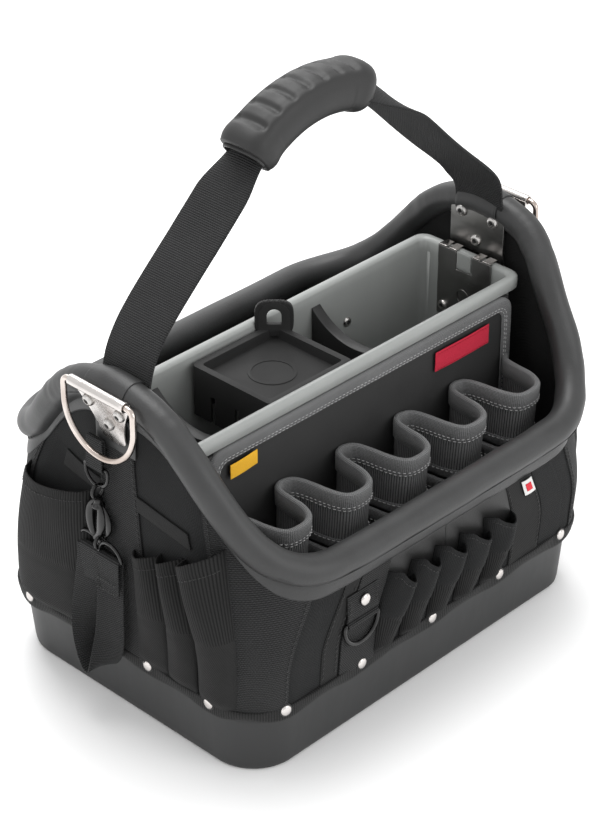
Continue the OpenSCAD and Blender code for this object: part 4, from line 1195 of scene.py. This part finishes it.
def build_tote():
    (_, y_front, z0), (lx, y_back, z1) = box_mm("tote_bin")
    bx, by = lx - 5.5, (y_back - y_front) / 2 - 6.0
    # height, distance out and whether the point is on the flared lip
    prof = [(z0, -12, 0), (z0, -7.0, 0), (z0 + 1.5, -5.0, 0), (z0 + 5, -4.2, 0), (z0 + 60, -3.0, 0),
            (z0 + 140, -1.6, 0), (z1 - 60, -0.6, 0), (z1 - 14, 0, 0), (z1 - 12.4, 1.0, 0), (z1 - 11.6, 4.6, 1),
            (z1 - 11.0, 5.2, 1), (z1 - 5.5, 5.5, 1), (z1 - 1.8, 5.1, 1), (z1 - 0.5, 3.9, 1), (z1, 2.2, 1),
            (z1 - 0.3, 0.0, 0), (z1 - 1.2, -1.8, 0), (z1 - 3.2, -3.0, 0), (z1 - 12, -3.2, 0), (z1 - 60, -3.7, 0),
            (z0 + 60, -6.0, 0), (z0 + 7, -7.4, 0), (z0 + 3.2, -11, 0)]
    n = 220
    P = np.array([[(*rounded(bx + o, by + o * (1.07 if lip else 1), 8.5 + max(-5, o * 0.5), i / n), z)
                   for z, o, lip in prof] for i in range(n)]) + (0, CY, 0)
    v, f, uv = grid_data(P, None, True)
    v = close_bowl(v, f, uv, len(prof), [0, CY, z0], [0, CY, z0 + 3.2])
    harden(make("tote_shell", v, f, "tote", "tote", uv, ["tote_bin"]), 50)
    # upright ribs at the outer corners
    rib = [(0.2, 0), (3.0, 0), (2.6, 150), (0.2, 151)]
    v, f = many([lathe(rib, (sx * (bx - 1.5), CY + sy * (by - 9), z1 - 163), (0, 0, 1), 16)
                 for sx in (-1, 1) for sy in (-1, 1)])
    make("tote_ribs", v, f, "tote", "tote")
    # end hook plates with fingers over the rim
    top = z1 - 236
    outline = [(-29, -33), (29, -33), (29, top - 6), (29, top), (10, top), (9, top - 1), (9, top - 17), (-9, top - 17),
               (-9, top - 1), (-10, top), (-29, top)]
    for sx, nm in SIDES:
        plate("hook_plate_" + nm, outline, lambda a, b, h: (sx * (bx - 3.5 - h), CY + a, 236 + b), 1.6, "steel", "tote",
              [nm + "_hook_plate"], 0.3)
        for k, (ya, yb) in enumerate(((-28, -20), (-17, -9.5), (9.5, 17), (20, 28))):
            plate("hook_finger_%s_%d" % (nm, k), [(ya, 0), (yb, 0), (yb, 10.5), (ya, 10.5)],
                  lambda a, b, h: (sx * (bx - 5.1 + b), CY + a, z1 + 0.1 + h), 1.4, "nickel", "tote", (), 0.3)
        P = np.array([[(sx * (bx - 5.4), CY + y, z) for z in np.linspace(z1 - 15, z1 + 1.0, 6)]
                      for y in np.linspace(-7.5, 7.5, 6)])
        sheet("rim_tab_" + nm, P, "tote", "tote", 1.2, offset=0.0, bevel=0.4)
        ring = [(sx * (bx - 5.5), CY + 6.5 * math.cos(t), 228 + 6.5 * math.sin(t)) for t in around(40)]
        tube("plate_ring_mark_" + nm, ring, 0.35, "steel", "tote", n=8, closed=True, up=(1, 0, 0))
    parts, sockets = [], []
    for sx in (-1, 1):
        for y in (-22, 22):
            bolt((sx * (bx - 5.1), CY + y, 212), (-sx, 0, 0), 4.8, 2.4, parts, sockets)
    for x, z in ((-103, 206), (90, 224)):
        for sy in (-1, 1):
            bolt((x, CY + sy * (by - 3.6), z), (0, -sy, 0), 4.4, 2.2, parts, sockets)
    make_bolts("tote_screw_heads", "tote_sockets", "tote", parts, sockets, ["tote_screws"])


def panel_edge(t, grow=0.0):
    """Outline of the pocket panel in x and z."""
    x, z = rounded(176 + grow, 113 + grow, 14 + grow * 0.5, t)
    return x + 2, z + 142.5


def trim_stitch(name, line, normal, r=0.33):
    stitches(name, line, normal, "pale_stitch", "tote", length=2.6, gap=1.6, r=r)


def build_panel():
    face = CY - 57.5
    # slightly crowned board
    P = np.array([[(x, face + 1.0 + 0.35 * wave(x * 0.02, z * 0.02, 9.0)
                    - 1.2 * math.sin(math.pi * fx) ** 0.5 * math.sin(math.pi * fz) ** 0.5, z)
                   for fz in np.arange(36) / 35 for z in (30 + 225 * fz,)]
                  for fx in np.arange(60) / 59 for x in (-173 + 350 * fx,)])
    ob = sheet("pocket_board", P, "panel", "tote", 5.2, ["pocket_panel"], bevel=0.8)
    # bound edge: folded tape round three sides
    n = 260
    prof = [(-10.5, 0.3), (-10.2, 1.5), (-9.0, 2.0), (-4.5, 2.3), (-1.0, 2.2), (0.9, 1.2), (1.3, -1.4), (0.6, -4.2),
            (-1.5, -5.4)]
    keep = {i for i in range(n) if panel_edge(i / n)[1] > 60}
    start = next(i for i in range(n) if i in keep and (i - 1) % n not in keep)
    order = [((start + k) % n) / n for k in range(len(keep))]

    def edge(t, grow, out):
        x, z = panel_edge(t, grow)
        return x, face - out, z
    P = np.array([[edge(t, o, h - 0.4 * wave(t * 60, 4.0)) for o, h in prof] for t in order])
    sheet("panel_edge_tape", P, "trim", "tote", replaces=["panel_binding"])
    for k, o in enumerate((-8.6, -6.4)):
        trim_stitch("panel_edge_stitch_%d" % k, [edge(t, o, 2.25) for t in order], (0, -1, 0))


def loop_line(depth, w, end):
    """Plan path of a band that loops out and back five times, x and distance out from the panel."""
    pts = [(-end, 0.8)]
    for c in (4 + 68.5 * i for i in range(-2, 3)):
        pts += [(c - w - 11, 1.2), (c - w - 2.5, 5.0), (c - w + 1.0, depth * 0.38), (c - w + 3.0, depth * 0.72),
                (c - w * 0.62, depth * 0.98), (c - 2, depth * 1.03), (c + w * 0.62, depth * 0.99),
                (c + w + 0.5, depth * 0.74), (c + w + 1.6, depth * 0.40), (c + w + 3.8, 6.0), (c + w + 10.5, 1.4)]
    return pts + [(end, 0.8)]


def band_from(pts, z0, z1, face, nz, lean):
    """Grid, UVs, outward normals and heights of a band that stands on a plan path and leans in at the foot."""
    L = smooth_path([(x, -o, 0) for x, o in pts], 1.8, 3)
    T = unit(np.gradient(L, axis=0))
    N = np.stack([T[:, 1], -T[:, 0], np.zeros(len(L))], -1)
    dist = distance(L)
    zs = np.linspace(z0, z1, nz)
    P = np.zeros((len(L), nz, 3))
    for i, (x, y, _) in enumerate(L):
        for j, z in enumerate(zs):
            k = 1 - lean * (1 - j / (nz - 1)) * min(1.0, -y / 20)
            soft = 0.5 * wave(dist[i] * 0.03, z * 0.04, 6.6) * min(1, -y / 8)
            P[i, j] = x + N[i][0] * soft, face + y * k + N[i][1] * soft, z
    return P, np.stack(np.meshgrid(dist, zs, indexing="ij"), -1), N, zs


def follow(band, z, out):
    """Line at height z along a band, moved out from its face."""
    P, _, N, zs = band
    return [(np.interp(z, zs, p[:, 0]) + n[0] * out, np.interp(z, zs, p[:, 1]) + n[1] * out, z) for p, n in zip(P, N)]


def fold(band, prof):
    return np.array([follow(band, z, o) for z, o in prof]).transpose(1, 0, 2)


def build_loops():
    face = CY - 58.5
    z_top = box_mm("loop_binding")[1][2]
    z_low = box_mm("tool_loops")[0][2]
    band = band_from(loop_line(53.5, 21.0, 172), z_low, z_top - 1.0, face, 26, 0.07)
    P, UV, N, _ = band
    sheet("tool_loop_band", P, "loop_cloth", "tote", 2.6, ["tool_loops"], UV, offset=0.0, bevel=0.3)
    # bound top edge and bottom edge: folded tape wrapped over the band
    za, zb, zc, zd = z_top - 16.5, z_top, z_low - 0.5, z_low + 9.0
    top = ((za, 1.9), (za + 0.8, 2.6), ((za + zb) / 2, 2.7), (zb - 1.6, 2.6), (zb - 0.3, 1.7), (zb + 0.3, 0.0),
           (zb - 0.3, -1.7), (zb - 1.6, -2.6), ((za + zb) / 2, -2.7), (za + 0.8, -2.6), (za, -1.9))
    low = ((zd, 1.8), (zd - 0.8, 2.3), ((zc + zd) / 2, 2.4), (zc + 1.4, 2.3), (zc + 0.2, 1.4), (zc - 0.2, 0.0),
           (zc + 0.2, -1.4), (zc + 1.4, -2.3), (zd - 0.8, -2.3), (zd, -1.8))
    for nm, prof, seams, nodes in (("top", top, (za + 1.6, za + 4.2), ["loop_binding"]), ("low", low, (zd - 1.8,), ())):
        acc = np.concatenate([[0], np.cumsum([math.dist(a, b) for a, b in zip(prof, prof[1:])])])
        uvs = np.stack(np.meshgrid(UV[:, 0, 0], acc, indexing="ij"), -1)
        sheet("loop_%s_tape" % nm, fold(band, prof), "trim", "tote", UV=uvs, replaces=nodes, flip=nm == "low")
        for k, z in enumerate(seams):
            trim_stitch("loop_%s_stitch_%d" % (nm, k), follow(band, z, 2.75), N, 0.34)
    # lower pockets: a second looped band closed at the foot
    low_top = box_mm("lower_pocket_binding")[1][2] - 1.0
    band = band_from(loop_line(55.5, 24.5, 173), 62, low_top, face, 24, 0.30)
    sheet("lower_pocket_band", band[0], "loop_cloth", "tote", 2.0, ["lower_pockets"], band[1], offset=0.0, bevel=0.3)
    za, zb = low_top - 10.5, low_top + 0.8
    prof = ((za, 1.4), (za + 0.8, 2.1), ((za + zb) / 2, 2.2), (zb - 1.4, 2.1), (zb - 0.2, 1.3), (zb + 0.2, 0.0),
            (zb - 0.2, -1.3), (zb - 1.4, -2.1), (za + 0.8, -2.1), (za, -1.4))
    sheet("lower_pocket_tape", fold(band, prof), "trim", "tote", replaces=["lower_pocket_binding"])
    trim_stitch("lower_pocket_stitch", follow(band, za + 2, 2.3), band[2])


def build_tags():
    face = CY - 59.6
    for nm, x0, x1, z0, z1, mat, out, slope in (("long", 82, 149, 222, 240, "red_tag", 0, 0),
                                                ("short", -154, -125, 229, 241.5, "yellow_tag", 0.8, 0.06)):
        P = np.array([[(x, face - out - 0.5 * math.sin(math.pi * (x - x0) / (x1 - x0)) - 0.2 * wave(x * 0.1, z * 0.2),
                        z + slope * (x - x0)) for z in np.linspace(z0, z1, 10)] for x in np.linspace(x0, x1, 26)])
        sheet("tag_" + nm, P, mat, "tote", 0.7, [nm + "_tag"], bevel=0.15)
    # border stitched along the long tag
    for k, z in enumerate((223.6, 238.4)):
        line = [(x, face - 0.75 - 0.5 * math.sin(math.pi * (x - 82) / 67), z) for x in np.linspace(83.5, 147.5, 30)]
        stitches("tag_stitch_%d" % k, line, (0, -1, 0), "red_tag", "tote", length=2.0, gap=1.2, r=0.25)


def copy_node(node, name, mat, body, bevel):
    """A softened copy of a CAD node whose shape is right."""
    me = frame["nodes"][node].data.copy()
    ob = new_object(name, me, mat, body, [node])
    bm = bmesh.new()
    bm.from_mesh(me)
    bmesh.ops.remove_doubles(bm, verts=bm.verts, dist=1e-6)
    bmesh.ops.dissolve_limit(bm, angle_limit=math.radians(1.0), verts=bm.verts, edges=bm.edges)
    bm.to_mesh(me)
    bm.free()
    soften(ob, bevel, 3, 40)
    settle(ob)
    harden(ob, 32)


def build_tray_tab():
    """Broad lifting tab over the tray's corner, with a ribbed rounded head and an arched slot."""
    foot = np.array([-8, 36.4 + CY, box_mm("parts_tray")[1][2] - 26])
    side = np.array([math.cos(math.radians(-45)), math.sin(math.radians(-45)), 0])
    out = np.array([side[1], -side[0], 0])
    rim, head, slot, mouth = ((15.4, 15.6, 11.0, 3.4, 0.7), (16.0, 16.2, 11.0, 3.4, 0.9), (8.4, 7.8, 13.0, 2.6, 0),
                              (9.0, 8.4, 13.0, 2.6, 0))
    loops = []
    for (hw, hh, zc, k, ribs), push in ((rim, 1.3), (head, 0.7), (head, -1.9), (rim, -2.5), (mouth, -2.5),
                                        (slot, -1.9), (slot, 0.7), (mouth, 1.3)):
        row = []
        for a in around(120):
            rad = oval(a, hw, hh, k)
            if ribs and 0.3 * math.pi < a < 0.7 * math.pi:
                rad += ribs * math.sin(a * 36) ** 2 - 0.3
            row.append(foot + side * rad * math.cos(a) + out * push + np.array([0, 0, zc + rad * math.sin(a)]))
        loops.append(row)
    harden(sheet("tray_lift_tab", np.array(loops), "tray", "tray", wrap_u=True, wrap_v=True), 40)


def build_inserts():
    build_tray_tab()
    copy_node("parts_tray", "magnet_tray", "tray", "tray", 0.7)
    copy_node("left_divider", "curved_divider_left", "divider", "left_divider", 0.6)
    copy_node("right_divider", "curved_divider_right", "divider", "right_divider", 0.6)


# ---------------------------------------------------------------- stage


def build_stage():
    me = bpy.data.meshes.new("floor")
    s = 14.0
    me.from_pydata([(-s, -s, 0), (s, -s, 0), (s, s, 0), (-s, s, 0)], [], [[0, 1, 2, 3]])
    floor = bpy.data.objects.new("floor", me)
    bpy.context.scene.collection.objects.link(floor)
    f = Shade("floor_white", rough=0.9, spec=0.1)
    f.color(f.noise(2.0, 2.0), (0.3, grey(0.93)), (0.7, grey(0.96)))
    me.materials.append(f.mat)
    world = bpy.data.worlds.new("studio")
    world.use_nodes = True
    background = world.node_tree.nodes["Background"]
    background.inputs[0].default_value = (1, 1, 1, 1)
    background.inputs[1].default_value = 1.0
    bpy.context.scene.world = world
    for name, loc, target_z, size, energy in (
            ("key_soft", (0.2, 0.5, 2.4), 0.2, 1.5, 40), ("left_panel", (-2.2, 0.1, 0.9), 0.2, 1.5, 5),
            ("front_panel", (0.6, -2.3, 1.1), 0.2, 1.5, 14), ("back_panel", (1.2, 2.0, 1.6), 0.25, 1.6, 16)):
        light = bpy.data.lights.new(name, "AREA")
        light.energy = energy
        light.size = size
        ob = bpy.data.objects.new(name, light)
        bpy.context.scene.collection.objects.link(ob)
        ob.location = loc
        ob.rotation_euler = (Vector((0, 0, target_z)) - Vector(loc)).to_track_quat("-Z", "Y").to_euler()
    cam = bpy.data.cameras.new("photo_camera")
    cam.lens = 109.17
    cam.sensor_width = 36
    cam.sensor_fit = "AUTO"
    ob = bpy.data.objects.new("photo_camera", cam)
    bpy.context.scene.collection.objects.link(ob)
    ob.location = (-1.26709, -1.20597 + MID, 1.28063)
    az, el = math.radians(-46.06), math.radians(31.90)
    back = Vector((math.sin(az) * math.cos(el), -math.cos(az) * math.cos(el), math.sin(el)))
    ob.rotation_euler = (-back).to_track_quat("-Z", "Y").to_euler()
    bpy.context.scene.camera = ob
    bpy.context.scene.view_settings.view_transform = "Standard"


for build in (build_stage, build_tub, build_band, build_rivets, build_walls, build_rim, build_facing, build_wraps,
              build_end_webbing, build_corner_webbing, build_wall_trim, build_pockets, build_front_tab,
              build_end_hardware, build_hook, build_handle, build_tote, build_panel, build_loops, build_tags,
              build_inserts):
    build()
